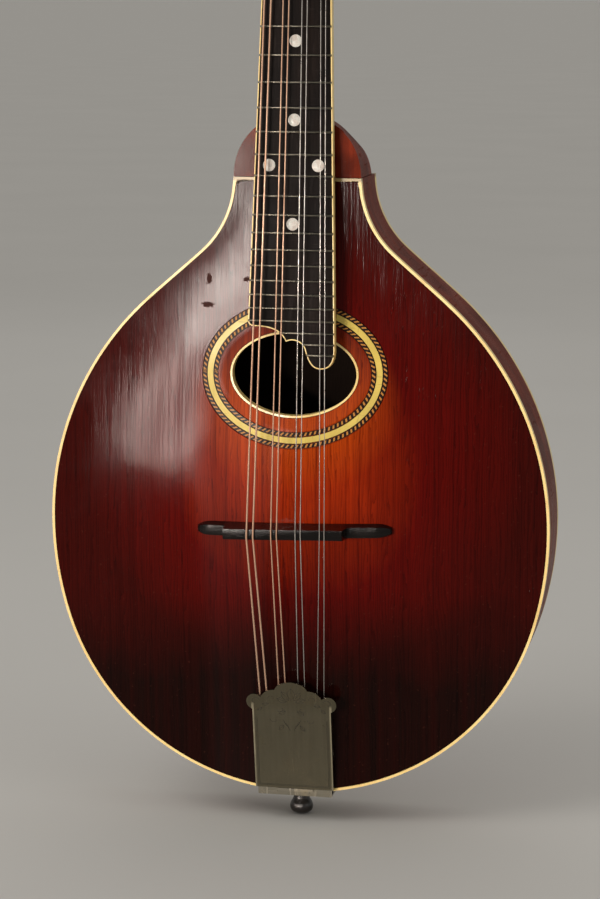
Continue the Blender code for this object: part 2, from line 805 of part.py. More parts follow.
def build_fretboard():
    add_object("fretboard", fretboard_mesh(), "ebony")
    add_object("fretboard_binding", fretboard_binding_mesh(), "ivory")
    names = ["dot_fret_%d" % number for number in SINGLE_DOT_FRETS]
    names += ["dot_fret_%d_bass" % DOUBLE_DOT_FRET, "dot_fret_%d_treble" % DOUBLE_DOT_FRET]
    pearl = turned([(DOT_RADIUS, -DOT_DEPTH), (DOT_RADIUS, 0)], 16)
    for name, (x, distance) in zip(names, dot_places()):
        add_object(name, pearl.copy(), "pearl", BOARD @ Matrix.Translation((x, -distance, 0)))


def rounded_back(half, front, back, power, count=12):
    """A flat-fronted section with a rounded back, as (x, depth) pairs."""
    pairs = []
    for i in range(count + 1):
        angle = math.pi * i / count
        c, s = math.cos(angle), math.sin(angle)
        x = half * math.copysign(abs(c) ** (2 / power), c)
        pairs.append((x, front + (back - front) * abs(s) ** (2 / power)))
    return pairs


NECK_FACE = -FRETBOARD_THICKNESS - GAP


def shaft_mesh():
    """The neck's round-backed grip, from behind the nut into the heel."""
    rings = []
    end = (NUT_Z - NECK_END_Z) / math.cos(NECK_TILT) - 0.004
    stops = [-HEAD_BACKSET] + [end * share for share in (0.17, 0.46, 0.69, 0.84, 1.0)]
    for distance in stops:
        share = max(distance, 0) / end
        depth = SHAFT_DEPTH_NUT + (SHAFT_DEPTH_HEEL - SHAFT_DEPTH_NUT) * share
        half = board_half(distance) - SIDE_INSET
        pairs = rounded_back(half, NECK_FACE, NECK_FACE - depth, 2.3)
        rings.append([board(x, distance, height) for x, height in pairs])
    return loft(rings)


def heel_mesh():
    """The broad rounded shoulders and heel against the body."""
    rings = []
    start = NECK_END_Z + GAP
    back = FRONT_Y + RIM_DEPTH
    low = FRONT_Y + SHAFT_DEPTH_HEEL
    for share in (0.0, 0.16, 0.32, 0.48, 0.62, 0.75, 0.86, 0.94, 0.985):
        half = NECK_END_HALF * (1 - share ** SHOULDER_SQUARENESS) ** (1 / SHOULDER_SQUARENESS)
        deep = low + (back - low) * (1 - share ** 2.3) ** (1 / 2.3)
        power = 9.0 - 6.4 * min(share / 0.6, 1.0)
        pairs = rounded_back(half, FRONT_Y, deep, power)
        rings.append([Vector((x, y, start + share * SHOULDER_LENGTH)) for x, y in pairs])
    return loft(rings)


def riser_mesh():
    """The neck's tongue between the top's carved face and the fretboard."""
    rings = []
    first = (NUT_Z - NECK_END_Z - TONGUE_OVERLAP) / math.cos(NECK_TILT)
    last = BOARD_END - TONGUE_SETBACK
    count = 11
    for i in range(count + 1):
        distance = first + (last - first) * i / count
        half = board_half(distance) - 2 * SIDE_INSET
        front = [board(-half, distance, NECK_FACE), board(half, distance, NECK_FACE)]
        seat = []
        for k in (4, 3, 2, 1, 0, -1, -2, -3, -4):
            point = board(half * k / 4, distance, NECK_FACE)
            seat.append(Vector((point.x, top_outer(point.x, point.z) - SEAT_GAP, point.z)))
        rings.append(front + seat)
    return loft(rings)


def head_half(u):
    """Half the headstock's width at a distance from the nut."""
    if u < HEAD_FLARE_LENGTH:
        share = max(u, 0) / HEAD_FLARE_LENGTH
        smooth = share * share * (3 - 2 * share)
        return NUT_WIDTH / 2 + (HEAD_WIDTH_BASE - NUT_WIDTH) / 2 * smooth
    share = (u - HEAD_FLARE_LENGTH) / (HEAD_LENGTH - HEAD_FLARE_LENGTH)
    return HEAD_WIDTH_BASE / 2 + (HEAD_WIDTH_TOP - HEAD_WIDTH_BASE) / 2 * share


def head_outline(start):
    """A plain paddle with flared shoulders and a softly arched top."""
    right = [(NUT_WIDTH / 2, start)]
    right += [(head_half(HEAD_FLARE_LENGTH * i / 6), HEAD_FLARE_LENGTH * i / 6) for i in range(1, 7)]
    corner = HEAD_LENGTH - HEAD_CROWN - 0.006
    right.append((head_half(corner), corner))
    right += bezier(right[-1], (right[-1][0], corner + 0.006), (right[-1][0] - 0.002, corner + 0.007),
                    (right[-1][0] - 0.007, corner + 0.0085), 3)
    right += bezier(right[-1], (right[-1][0] - 0.010, corner + 0.012), (0.012, HEAD_LENGTH),
                    (0.0, HEAD_LENGTH), 4)
    return right + [(-x, u) for x, u in reversed(right[:-1])]


def tuner_rows():
    """Distance of each post from the nut, nearest first."""
    return [FIRST_TUNER + TUNER_SPACING * i for i in range(4)]


def post_bores(low, high):
    radius = POST_RADIUS + GAP
    return [turned([(radius, low), (radius, high)], 12, Matrix.Translation((side * POST_OFFSET, u, 0)))
            for side in (-1, 1) for u in tuner_rows()]


def head_mesh():
    face = -VENEER_THICKNESS - GAP
    core = prism(head_outline(-0.001), -HEAD_THICKNESS, face, "Z")
    core = cut(core, *post_bores(-2 * HEAD_THICKNESS, HEAD_THICKNESS))
    core.transform(HEAD)
    return core


def veneer_mesh():
    sheet = prism(head_outline(GAP), -VENEER_THICKNESS, 0, "Z")
    sheet = cut(sheet, *post_bores(-HEAD_THICKNESS, HEAD_THICKNESS))
    sheet.transform(HEAD)
    return sheet


def string_height(distance):
    """Height of a string's underside above the board at a distance from the nut."""
    at_nut = NUT_RISE - SLOT_DEPTH + GAP
    middle = fret_distance(12)
    return at_nut + (FRET_HEIGHT + STRING_HEIGHT_12 - at_nut) * distance / middle


class StringPath:
    """One string: its places across the nut, bridge and tail, and its tuner."""

    def __init__(self, name, course, member):
        self.name = name
        self.course = course
        self.member = member
        self.radius = STRING_RADII[course]
        share = course / 3 - 0.5
        pair = PAIR_GAPS[course] * (member - 0.5)
        self.nut_x = share * NUT_STRING_SPREAD + pair
        self.bridge_x = share * BRIDGE_STRING_SPREAD + pair
        self.tail_x = share * TAIL_STRING_SPREAD + TAIL_PAIR_GAP * (member - 0.5)
        self.side = -1 if course < 2 else 1
        outer = course in (0, 3)
        first = member == (0 if self.side < 0 else 1)
        self.row = (0 if outer else 2) + (0 if first else 1)
        self.stagger = SADDLE_STAGGER * (0.5 - course / 3)

    def saddle_distance(self):
        return SCALE_LENGTH + COMPENSATION + self.stagger - self.bridge_x * math.tan(BRIDGE_SLANT)

    def saddle(self):
        distance = self.saddle_distance()
        return board(self.bridge_x, distance, string_height(distance) + self.radius)

    def nut(self):
        return board(self.nut_x, -GAP - NUT_LENGTH, string_height(0) + self.radius)

    def hook(self):
        return Vector((self.tail_x, FRONT_Y - TAIL_STRING_HEIGHT, TAIL_Z + HOOK_LINE))

    def tail(self):
        return self.hook() + Vector((0, 0, HOOK_RADIUS + GAP))

    def post_end(self):
        """Where the string meets its winding, on the side of the post that faces the middle."""
        start = HEAD.inverted() @ self.nut()
        reach = Vector((self.side * POST_OFFSET - start.x, FIRST_TUNER + TUNER_SPACING * self.row - start.y))
        radius = WRAP_RADIUS + self.radius + GAP
        angle = math.atan2(reach.y, reach.x) + self.side * math.asin(radius / reach.length)
        run = math.sqrt(reach.length ** 2 - radius ** 2)
        return HEAD @ Vector((start.x + run * math.cos(angle), start.y + run * math.sin(angle),
                              (WRAP_LOW + WRAP_HIGH) / 2))


STRINGS = [StringPath("string_%s%d" % (letter, member + 1), course, member)
           for course, letter in enumerate("gdae") for member in (0, 1)]


def nut_mesh():
    """The nut with a square slot under each string."""
    half = board_half(0)
    top = NUT_RISE
    profile = [(-half, -FRETBOARD_THICKNESS), (-half, top - 0.0006), (-half + 0.0006, top)]
    for string in STRINGS:
        width = string.radius + GAP
        profile += [(string.nut_x - width, top), (string.nut_x - width, top - SLOT_DEPTH),
                    (string.nut_x + width, top - SLOT_DEPTH), (string.nut_x + width, top)]
    profile += [(half - 0.0006, top), (half, top - 0.0006), (half, -FRETBOARD_THICKNESS)]
    mesh = loft([[Vector((x, u, h)) for x, h in profile] for u in (GAP, GAP + NUT_LENGTH)])
    mesh.transform(BOARD)
    return mesh


def build_neck():
    add_object("neck", union(head_mesh(), shaft_mesh(), heel_mesh(), riser_mesh()), "neck_wood")
    add_object("headstock_veneer", veneer_mesh(), "ebony")
    add_object("nut", nut_mesh(), "bone")


def tube(path, radius, sides):
    """A round wire along a few straight runs, mitred at the bends."""
    rings = []
    for i, point in enumerate(path):
        before = (point - path[i - 1]).normalized() if i else None
        after = (path[i + 1] - point).normalized() if i + 1 < len(path) else None
        along = ((before or after) + (after or before)).normalized()
        stretch = 1 / along.dot(after or before)
        across = Vector((1, 0, 0))
        across = (across - along * across.dot(along)).normalized()
        up = along.cross(across)
        ring = []
        for k in range(sides):
            angle = 2 * math.pi * k / sides
            ring.append(point + across * radius * math.cos(angle) + up * radius * stretch * math.sin(angle))
        rings.append(ring)
    return loft(rings)


def build_strings():
    for string in STRINGS:
        path = [string.tail(), string.saddle(), string.nut(), string.post_end()]
        look = "bronze" if string.course < 2 else "steel"
        add_object(string.name, tube(path, string.radius, STRING_SIDES), look)


def saddle_stops():
    """Stations along the bridge's crown: place across and the ridge's distance from the nut."""
    stops = []
    for course in range(4):
        pair = [s for s in STRINGS if s.course == course]
        for string, reach in ((pair[0], -0.0014), (pair[1], 0.0014)):
            x = string.bridge_x + reach
            stops.append((x, SCALE_LENGTH + COMPENSATION + string.stagger - x * math.tan(BRIDGE_SLANT)))
    first, last = stops[0], stops[-1]
    return [(SADDLE_LEFT, first[1]), *stops, (SADDLE_RIGHT, last[1])]


def bridge_mesh(face):
    """A one-piece bridge: feet on the arch, a raised crown with staggered breaks, and lower wings."""
    middle = SCALE_LENGTH + COMPENSATION
    left = BRIDGE_OFFSET - BRIDGE_SPAN / 2
    right = BRIDGE_OFFSET + BRIDGE_SPAN / 2

    def section(x, foot, top, ridge, level):
        centre = board(x, middle - x * math.tan(BRIDGE_SLANT), 0).z
        low, high = centre - foot / 2, centre + foot / 2
        top_low, top_high = centre - top / 2, centre + top / 2
        if ridge is None:
            y = face(x, centre) - level
            crest, back, front = (y, centre), y + 0.0003, y + 0.0003
        else:
            point = board(x, ridge, string_height(ridge) - GAP)
            crest = (point.y, point.z)
            back = point.y + 0.26 * (point.z - top_low)
            front = point.y + 0.12 * (top_high - point.z)
        return [Vector((x, face(x, low) - SEAT_GAP, low)), Vector((x, face(x, high) - SEAT_GAP, high)),
                Vector((x, front, top_high)), Vector((x, crest[0], crest[1])), Vector((x, back, top_low))]

    def wing(start, end, count):
        rings = []
        for i in range(count + 1):
            x = start + (end - start) * i / count
            tip = min(abs(x - left), abs(right - x)) / 0.006
            ease = math.sqrt(max(1 - (1 - min(tip, 1)) ** 2, 0.0))
            width = 0.45 + 0.55 * ease
            level = 0.0022 + (WING_HEIGHT - 0.0022) * ease
            rings.append(section(x, BRIDGE_FOOT * width, BRIDGE_TOP * width, None, level))
        return rings

    rings = wing(left, SADDLE_LEFT - 0.0012, 4)
    for x, ridge in saddle_stops():
        rings.append(section(x, BRIDGE_FOOT, BRIDGE_TOP, ridge, 0))
    rings += wing(SADDLE_RIGHT + 0.0012, right, 5)
    return loft(rings)


def tail_slope():
    """Tilt of the strings between the bridge and the tailpiece."""
    run = [string.saddle() - string.tail() for string in STRINGS]
    return math.atan2(-sum(v.y for v in run), sum(v.z for v in run))


TAIL_SLOPE = tail_slope()


def base_line():
    """The tailpiece base's inner line in side view, from the rim's back up to the hooks."""
    top = TAIL_Z + TAIL_BASE_TOP
    seat = min(top_outer(0, top), top_outer(0.005, top)) - SEAT_GAP
    return [(FRONT_Y + TAIL_BASE_DROP, TAIL_Z - GAP), (FRONT_Y - BASE_CORNER, TAIL_Z - GAP), (seat, top)]


BASE_HALF_WIDTH = COVER_HALF_WIDTH - COVER_SHEET - GAP


def base_mesh():
    """Bent sheet with a hook for each string and a lip that stops the cover."""
    inner = base_line()
    outer = [(inner[0][0], inner[0][1] - TAIL_SHEET), (inner[1][0] - TAIL_SHEET, inner[1][1] - TAIL_SHEET),
             (inner[2][0] - TAIL_SHEET, inner[2][1])]
    sheet = prism(inner + outer[::-1], -BASE_HALF_WIDTH, BASE_HALF_WIDTH, "X")
    slope = (inner[2][0] - inner[1][0]) / (inner[2][1] - inner[1][1])
    pieces = []
    reach = max(string.radius for string in STRINGS)
    for string in STRINGS:
        place = string.hook()
        foot = inner[1][0] + slope * (place.z - inner[1][1]) - TAIL_SHEET / 2
        tip = place.y - reach - HOOK_HEIGHT
        peg = turned([(HOOK_RADIUS, 0), (HOOK_RADIUS, foot - tip)], 8)
        peg.transform(Matrix.Translation((place.x, foot, place.z)) @ Matrix.Rotation(math.pi / 2, 4, "X"))
        pieces.append(peg)
    lip_top = TAIL_Z + COVER_BOTTOM - GAP
    lip_face = COVER_FRAME.translation.y - COVER_SHEET
    pieces.append(box((-BASE_HALF_WIDTH / 2, BASE_HALF_WIDTH / 2), (lip_face, inner[1][0] - TAIL_SHEET / 2),
                      (lip_top - STOP_LIP, lip_top)))
    sheet = union(sheet, *pieces)
    return cut(sheet, *tail_bores(TAIL_Z - 3 * TAIL_SHEET, TAIL_Z + TAIL_SHEET))


def cover_frame():
    """The cover's frame: its bottom edge's inner face, with Y along the strings and Z outwards."""
    tail = STRINGS[0].tail()
    z = TAIL_Z + COVER_BOTTOM
    y = tail.y + (tail.z - z) * math.tan(TAIL_SLOPE)
    y -= (max(string.radius for string in STRINGS) + COVER_LIFT) / math.cos(TAIL_SLOPE)
    return Matrix.Translation((0, y, z)) @ Matrix.Rotation(math.pi / 2 + TAIL_SLOPE, 4, "X")


COVER_FRAME = cover_frame()


def cover_outline():
    """Straight sides, a round lobe at each shoulder and a scalloped crown, as (x, run) pairs."""
    def run(height):
        return (height - COVER_BOTTOM) / math.cos(TAIL_SLOPE)

    lobe_x, lobe_z = COVER_LOBE
    start = -math.acos((COVER_HALF_WIDTH - lobe_x) / COVER_LOBE_RADIUS)
    end = math.radians(140)
    right = [(COVER_HALF_WIDTH, 0.0)]
    count = 9
    for i in range(count + 1):
        angle = start + (end - start) * i / count
        right.append((lobe_x + COVER_LOBE_RADIUS * math.cos(angle),
                      run(lobe_z + COVER_LOBE_RADIUS * math.sin(angle))))
    step = (COVER_SCALLOP[0], run(COVER_SCALLOP[1]))
    valley = right[-1]
    right += bezier(valley, (valley[0] - 0.001, valley[1] + 0.0028), (step[0] + 0.003, step[1] + 0.0006), step, 3)
    right.append((step[0] - 0.0005, step[1] + 0.0013))
    peak = (0.0, run(COVER_PEAK))
    right += bezier(right[-1], (right[-1][0] - 0.001, right[-1][1] + 0.0022),
                    (0.003, peak[1] - 0.0008), peak, 4)
    return right + [(-x, v) for x, v in reversed(right[:-1])]


def cover_mesh():
    """The slide-on cover: a flat front with two side flanges."""
    panel = prism(cover_outline(), 0, COVER_SHEET, "Z")
    inverse = COVER_FRAME.inverted()
    low = TAIL_Z + COVER_BOTTOM
    high = TAIL_Z + COVER_TOP
    run = (high - low) / math.cos(TAIL_SLOPE)
    edge = [COVER_FRAME @ Vector((0, along, COVER_SHEET / 2)) for along in (FLANGE_INSET, run)]
    seat = min(top_outer(x, high) for x in (0.9 * COVER_HALF_WIDTH, COVER_HALF_WIDTH)) - SEAT_GAP
    profile = [(edge[0].y, edge[0].z), (edge[1].y, edge[1].z), (seat, edge[1].z),
               (FRONT_Y - SEAT_GAP, edge[0].z)]
    flanges = []
    for side in (-1, 1):
        inner = side * (COVER_HALF_WIDTH - COVER_SHEET)
        outer = side * (COVER_HALF_WIDTH - FLANGE_INSET)
        flange = prism(profile, min(inner, outer), max(inner, outer), "X")
        flange.transform(inverse)
        flanges.append(flange)
    return union(panel, *flanges)


def pin_mesh():
    """The turned end pin, standing on its flat face at the origin."""
    head = PIN_HEAD_RADIUS
    profile = [(PIN_FACE_RADIUS, 0), (head * 0.93, 0.0012), (head, 0.0034), (head * 0.9, 0.0058),
               (PIN_NECK_RADIUS, 0.0078), (PIN_NECK_RADIUS, 0.0112), (PIN_NECK_RADIUS * 1.25, 0.0126),
               (PIN_NECK_RADIUS * 1.25, TAIL_Z - TAIL_SHEET - 2 * GAP),
               (PIN_SHANK_RADIUS, TAIL_Z - TAIL_SHEET - 2 * GAP),
               (PIN_SHANK_RADIUS * 0.92, TAIL_Z + PIN_SHANK_LENGTH)]
    return turned(profile, 20)


def screw_mesh():
    """A round-headed screw pointing up into the tail."""
    seat = -TAIL_SHEET - 2 * GAP
    profile = [(SCREW_HEAD_RADIUS * 0.45, seat - 0.0012), (SCREW_HEAD_RADIUS * 0.85, seat - 0.0008),
               (SCREW_HEAD_RADIUS, seat), (SCREW_RADIUS, seat), (SCREW_RADIUS * 0.6, SCREW_LENGTH)]
    return turned(profile, 10)


def build_tail():
    add_object("tailpiece_base", base_mesh(), "nickel")
    add_object("tailpiece_cover", cover_mesh(), "nickel", COVER_FRAME)
    add_object("end_pin", pin_mesh(), "ebony")
    screw = screw_mesh()
    for number, (x, y) in enumerate(SCREW_PLACES, 1):
        add_object("tailpiece_screw_%d" % number, screw.copy(), "nickel", Matrix.Translation((x, y, TAIL_Z)))


PLATE_BACK = -HEAD_THICKNESS - GAP - TUNER_PLATE_THICKNESS
GEAR_MIDDLE = PLATE_BACK - GAP - max(WORM_RADIUS, GEAR_THICKNESS / 2)
GEAR_TOP = GEAR_MIDDLE + GEAR_THICKNESS / 2
WORM_OFFSET = GEAR_RADIUS + WORM_RADIUS + GAP


def tuner_plate_mesh(side):
    """A plate on the headstock's back with two lugs for each worm."""
    near = side * POST_OFFSET - TUNER_PLATE_WIDTH / 2
    rows = tuner_rows()
    start = rows[0] - WORM_OFFSET - 0.005
    end = rows[-1] + GEAR_RADIUS + 0.003
    sheet = box((near, near + TUNER_PLATE_WIDTH), (start, end), (PLATE_BACK, PLATE_BACK + TUNER_PLATE_THICKNESS))
    lugs = []
    bores = []
    reach = WORM_LENGTH / 2 + GAP + LUG_THICKNESS / 2
    lug_half = WORM_SHAFT_RADIUS + 0.0012
    for u in rows:
        worm = u - WORM_OFFSET
        for end_side in (-1, 1):
            x = side * POST_OFFSET + end_side * reach
            lugs.append(box((x - LUG_THICKNESS / 2, x + LUG_THICKNESS / 2), (worm - lug_half, worm + lug_half),
                            (GEAR_MIDDLE - lug_half, PLATE_BACK + TUNER_PLATE_THICKNESS / 2)))
        bore = turned([(WORM_SHAFT_RADIUS + BEARING_GAP, -0.012), (WORM_SHAFT_RADIUS + BEARING_GAP, 0.012)], 8)
        bore.transform(Matrix.Translation((side * POST_OFFSET, worm, GEAR_MIDDLE))
                       @ Matrix.Rotation(math.pi / 2, 4, "Y"))
        bores.append(bore)
    holes = [bore for bore in post_bores(-2 * HEAD_THICKNESS, 0)]
    plate = cut(union(sheet, *lugs), *(bores + holes))
    plate.transform(HEAD)
    return plate


def post_mesh():
    """Post, winding and worm wheel in one, about its own Z axis with the headstock's face at 0."""
    low = GEAR_TOP - GEAR_THICKNESS
    post = turned([(POST_RADIUS, low - 0.0005), (POST_RADIUS, WRAP_LOW), (WRAP_RADIUS, WRAP_LOW),
                   (WRAP_RADIUS, WRAP_HIGH), (POST_RADIUS, WRAP_HIGH), (POST_RADIUS, POST_HEIGHT - 0.0006),
                   (POST_RADIUS - 0.0006, POST_HEIGHT)], 10)
    teeth = []
    for i in range(2 * GEAR_TEETH):
        radius = GEAR_RADIUS if i % 2 else GEAR_RADIUS - 0.0009
        angle = math.pi * i / GEAR_TEETH
        teeth.append((radius * math.cos(angle), radius * math.sin(angle)))
    return union(post, prism(teeth, low, GEAR_TOP, "Z"))


def button_mesh(u):
    """Worm, shaft and oval button, along the shaft's own X axis outwards."""
    grip = head_half(u) + BUTTON_OVERHANG - POST_OFFSET
    end = WORM_LENGTH / 2
    shaft = WORM_SHAFT_RADIUS
    inner = -end - GAP - LUG_THICKNESS - 0.0008
    stations = [(inner, shaft, shaft), (-end, shaft, shaft), (-end + 0.0004, WORM_RADIUS, WORM_RADIUS),
                (end - 0.0004, WORM_RADIUS, WORM_RADIUS), (end, shaft, shaft), (grip, shaft, shaft)]
    width = BUTTON_HALF_WIDTH
    thick = BUTTON_HALF_THICKNESS
    for run, share, depth in ((0.0003, 0.30, 0.55), (0.20, 0.62, 0.80), (0.45, 0.95, 1.0), (0.70, 1.0, 0.95),
                              (0.92, 0.72, 0.70), (1.0, 0.45, 0.45)):
        stations.append((grip + run * BUTTON_LENGTH, width * share, thick * depth))
    rings = []
    for x, ry, rz in stations:
        rings.append([Vector((x, ry * math.cos(math.pi * k / 4), rz * math.sin(math.pi * k / 4)))
                      for k in range(8)])
    return loft(rings)


def build_tuners():
    for side, word in ((-1, "bass"), (1, "treble")):
        add_object("tuner_plate_" + word, tuner_plate_mesh(side), "nickel")
    post = post_mesh()
    for side, word in ((-1, "bass"), (1, "treble")):
        facing = Matrix.Rotation(0.0 if side > 0 else math.pi, 4, "Z")
        for number, u in enumerate(tuner_rows(), 1):
            place = Matrix.Translation((side * POST_OFFSET, u, 0))
            add_object("tuner_post_%s_%d" % (word, number), post.copy(), "brass", HEAD @ place)
            worm = Matrix.Translation((side * POST_OFFSET, u - WORM_OFFSET, GEAR_MIDDLE))
            add_object("tuner_button_%s_%d" % (word, number), button_mesh(u - WORM_OFFSET), "button",
                       HEAD @ worm @ facing)


def main():
    clear_scene()
    outer_face, inner_face = build_body()
    build_neck()
    build_fretboard()
    add_object("bridge", bridge_mesh(outer_face), "ebony")
    build_strings()
    build_tail()
    build_tuners()


main()
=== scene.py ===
"""A-style mandolin: the looks of a carved, oval-hole instrument laid over its solid frame."""

import math
from contextlib import contextmanager

import bmesh
import bpy
import numpy as np
from bpy.props import FloatProperty, FloatVectorProperty, IntProperty, PointerProperty
from bpy.types import Operator, Panel, PropertyGroup
from mathutils import Matrix, Quaternion, Vector


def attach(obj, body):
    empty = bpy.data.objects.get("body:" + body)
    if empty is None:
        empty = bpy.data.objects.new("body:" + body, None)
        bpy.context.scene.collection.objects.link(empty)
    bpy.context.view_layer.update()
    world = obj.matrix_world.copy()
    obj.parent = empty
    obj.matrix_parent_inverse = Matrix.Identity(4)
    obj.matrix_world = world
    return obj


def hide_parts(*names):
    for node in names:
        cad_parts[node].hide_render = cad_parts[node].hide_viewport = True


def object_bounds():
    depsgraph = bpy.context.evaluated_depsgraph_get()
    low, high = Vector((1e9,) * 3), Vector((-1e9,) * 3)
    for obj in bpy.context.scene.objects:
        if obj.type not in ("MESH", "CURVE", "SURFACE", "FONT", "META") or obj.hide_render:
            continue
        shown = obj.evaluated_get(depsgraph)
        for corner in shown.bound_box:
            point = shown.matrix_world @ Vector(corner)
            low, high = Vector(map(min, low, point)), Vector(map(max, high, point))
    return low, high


bl_info = {
    "name": "Oval Hole Mandolin",
    "version": (1, 0, 0),
    "blender": (4, 5, 0),
    "location": "3D View > Sidebar > Mandolin",
    "description": "Dresses the mandolin's solid frame with its woods, inlays, strings and fittings",
    "category": "Object",
}

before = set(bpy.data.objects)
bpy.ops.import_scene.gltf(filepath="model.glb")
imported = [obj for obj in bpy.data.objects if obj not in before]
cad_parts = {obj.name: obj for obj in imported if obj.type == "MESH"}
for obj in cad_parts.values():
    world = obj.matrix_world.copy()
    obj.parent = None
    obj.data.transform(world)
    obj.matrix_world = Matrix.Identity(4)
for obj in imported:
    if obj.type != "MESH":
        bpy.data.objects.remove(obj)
CAD_LOW, CAD_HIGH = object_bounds()

# Places shared with the solids, in metres
FRONT_Y = -0.016
TAIL_Z = 0.0152
HOLE_Z = TAIL_Z + 0.2184
HOLE_HALF = (0.0332, 0.0218)
BODY_DROP = 0.06
ROSETTE_HALF = (0.0391, 0.0286)
SCALE_LENGTH = 0.3524
NUT_PLACE = Vector((0.0, -0.011401, 0.5079))
NECK_TILT = math.radians(4.47)
HEAD_TILT = math.radians(14.0)
HEAD_BACKSET = 0.0051
VENEER_THICKNESS = 0.0015
HEAD_THICKNESS = 0.0130
BOARD_THICKNESS = 0.0050
FRET_COUNT = 24
NUT_HALF = 0.0152
BOARD_TAPER = 0.0258
BOARD_END = 0.2505
EXTENSION_LENGTH = 0.0206
EXTENSION_MIDDLE = 0.0153
CUSP_OFFSET = -0.0024
CUSP_DROP = 0.0074
BOARD_EDGE = 0.0006
FRET_OVERHANG = 0.00045
DOT_RADIUS = 0.0031
DOT_OFFSET = 0.0123
BINDING_TRIM = 0.0003
LIP_TRIM = 0.0004
POST_RADIUS = 0.0030
POST_HEIGHT = 0.0150
HOLE_HEIGHT = 0.0118
WRAP_LOW = 0.0045
GEAR_TEETH = 12
COVER_AXIS = (0.0, -0.193741, 0.981053)
STRING_RADIUS = {"g": 0.00050, "d": 0.00036, "a": 0.00025, "e": 0.00020}
TUNER_ROWS = [0.0400 + 0.0230 * i for i in range(4)]
POST_OFFSET = 0.0175
WORM_DROP = 0.0081
GEAR_DEPTH = -0.0170
# How far the buttons' roots stand from the headstock's middle, and how much farther towards its tip
BUTTON_REACH = 0.0395
BUTTON_SPLAY = 0.0040 / 0.132
# How far a leaf's cut bows out at each tenth of its length
LEAF_BOW = (0.0, 0.232, 0.496, 0.744, 0.928, 1.0, 0.928, 0.744, 0.496, 0.232, 0.0)

BOARD = Matrix.Translation(NUT_PLACE) @ Matrix.Rotation(math.pi / 2 - NECK_TILT, 4, "X")
HEAD = (BOARD @ Matrix.Translation((0, HEAD_BACKSET, VENEER_THICKNESS - BOARD_THICKNESS))
        @ Matrix.Rotation(-HEAD_TILT, 4, "X"))

STRING_NAMES = ["string_%s%d" % (letter, number) for letter in "gdae" for number in (1, 2)]
UPSIDE_DOWN = Matrix.Rotation(math.pi, 4, "X")
ALONG_X = Matrix.Rotation(math.pi / 2, 4, "Y")

# Places of the top's finish: the sunburst's and its glow's middle and half axes, and the chips in the
# varnish, each by its place across and up, half width and half height
BURST_X = 0.002
BURST_Z = 0.186
BURST_HALF = (0.1130, 0.1330)
GLOW_Z = HOLE_Z - 0.014
GLOW_HALF = (0.055, 0.046)
CHIPS = ((-0.0446, 0.2795, 0.0014, 0.0027), (-0.0452, 0.2668, 0.0033, 0.0014),
         (-0.0250, 0.2800, 0.0020, 0.0012))
# The shade of old dirt, also used for the painted shade in the neck joint; the height and front of the neck joint
# where that painted shade lies, and the tailpiece cover's half width and the foot of its crown
GRIME_AND_JOINT_SHADE = (0.10, 0.055, 0.02)
JOINT_Z = 0.3285
JOINT_Y = -0.0240
COVER_HALF = 0.0203
COVER_CROWN_Z = 0.0600


def spun(angle):
    return Matrix.Rotation(angle, 4, "Z")


def linear(red, green, blue):
    """A colour given in 0 to 255 display values, as the shader wants it."""
    parts = []
    for value in (red, green, blue):
        share = value / 255
        parts.append(share / 12.92 if share <= 0.04045 else ((share + 0.055) / 1.055) ** 2.4)
    return tuple(parts)


def colour(name, text, *values):
    return FloatVectorProperty(name=name, description=text, subtype="COLOR", size=3,
                               min=0.0, max=1.0, default=linear(*values))


def length(name, text, value):
    return FloatProperty(name=name, description=text, default=value, min=0.0, unit="LENGTH", precision=5)


class MandolinColours(PropertyGroup):
    top_centre: colour("Top Centre", "Sunburst around the bridge", 148, 41, 7)
    top_glow: colour("Top Glow", "Orange of the sunburst around the hole", 184, 76, 12)
    top_middle: colour("Top Middle", "Sunburst between the centre and the edge", 80, 6, 3)
    top_edge: colour("Top Edge", "Deep red edge of the sunburst", 52, 6, 3)
    top_foot: colour("Top Foot", "Nearly black shade around the tailpiece", 20, 6, 4)
    back_wood: colour("Sides and Back", "Red-brown of the rim and back", 132, 48, 23)
    back_edge: colour("Back Edge", "Darker shade of the rim and back", 66, 17, 9)
    neck_wood: colour("Neck", "Red-brown of the neck", 132, 46, 20)
    ivory: colour("Ivory", "Aged binding", 240, 214, 142)
    ivory_dark: colour("Ivory Stain", "Yellowed parts of the binding", 205, 158, 78)
    ring: colour("Rosette Ring", "Yellow ivory ring of the rosette", 204, 180, 88)
    rope_light: colour("Rope Light", "Light strips of the rope purfling", 190, 128, 58)
    rope_dark: colour("Rope Dark", "Dark strips of the rope purfling", 24, 15, 12)
    ebony: colour("Ebony", "Fretboard and bridge", 30, 25, 23)
    pearl: colour("Pearl", "Position dots", 202, 200, 192)
    bone: colour("Bone", "Nut", 222, 208, 172)
    nickel: colour("Nickel", "Tailpiece and tuner plates", 178, 172, 156)
    tarnish: colour("Tarnish", "Dull patches on the plating", 128, 114, 82)
    brass: colour("Brass", "Gears and posts", 196, 156, 84)
    bronze: colour("Bronze", "Wound strings", 214, 176, 148)
    steel: colour("Steel", "Plain strings and screws", 196, 192, 186)
    button: colour("Button", "Tuner buttons", 226, 208, 164)
    # Painted shade: the inside wood is nearly black, standing for the shade inside the body seen through the hole
    inside: colour("Inside Wood", "Bare wood inside the body, dark as painted shade", 24, 15, 9)


class MandolinSizes(PropertyGroup):
    grain_spacing: length("Grain Spacing", "Distance between the top's grain lines", 0.0015)
    rope_pitch: length("Rope Pitch", "Distance between the dark strips of the purfling", 0.0024)
    fret_width: length("Fret Width", "Width of a fret's crown", 0.0011)
    fret_height: length("Fret Height", "Height of a fret above the board", 0.00102)
    coil_turns: IntProperty(name="Coil Turns", description="Turns of each string on its post",
                            default=5, min=2, max=12)


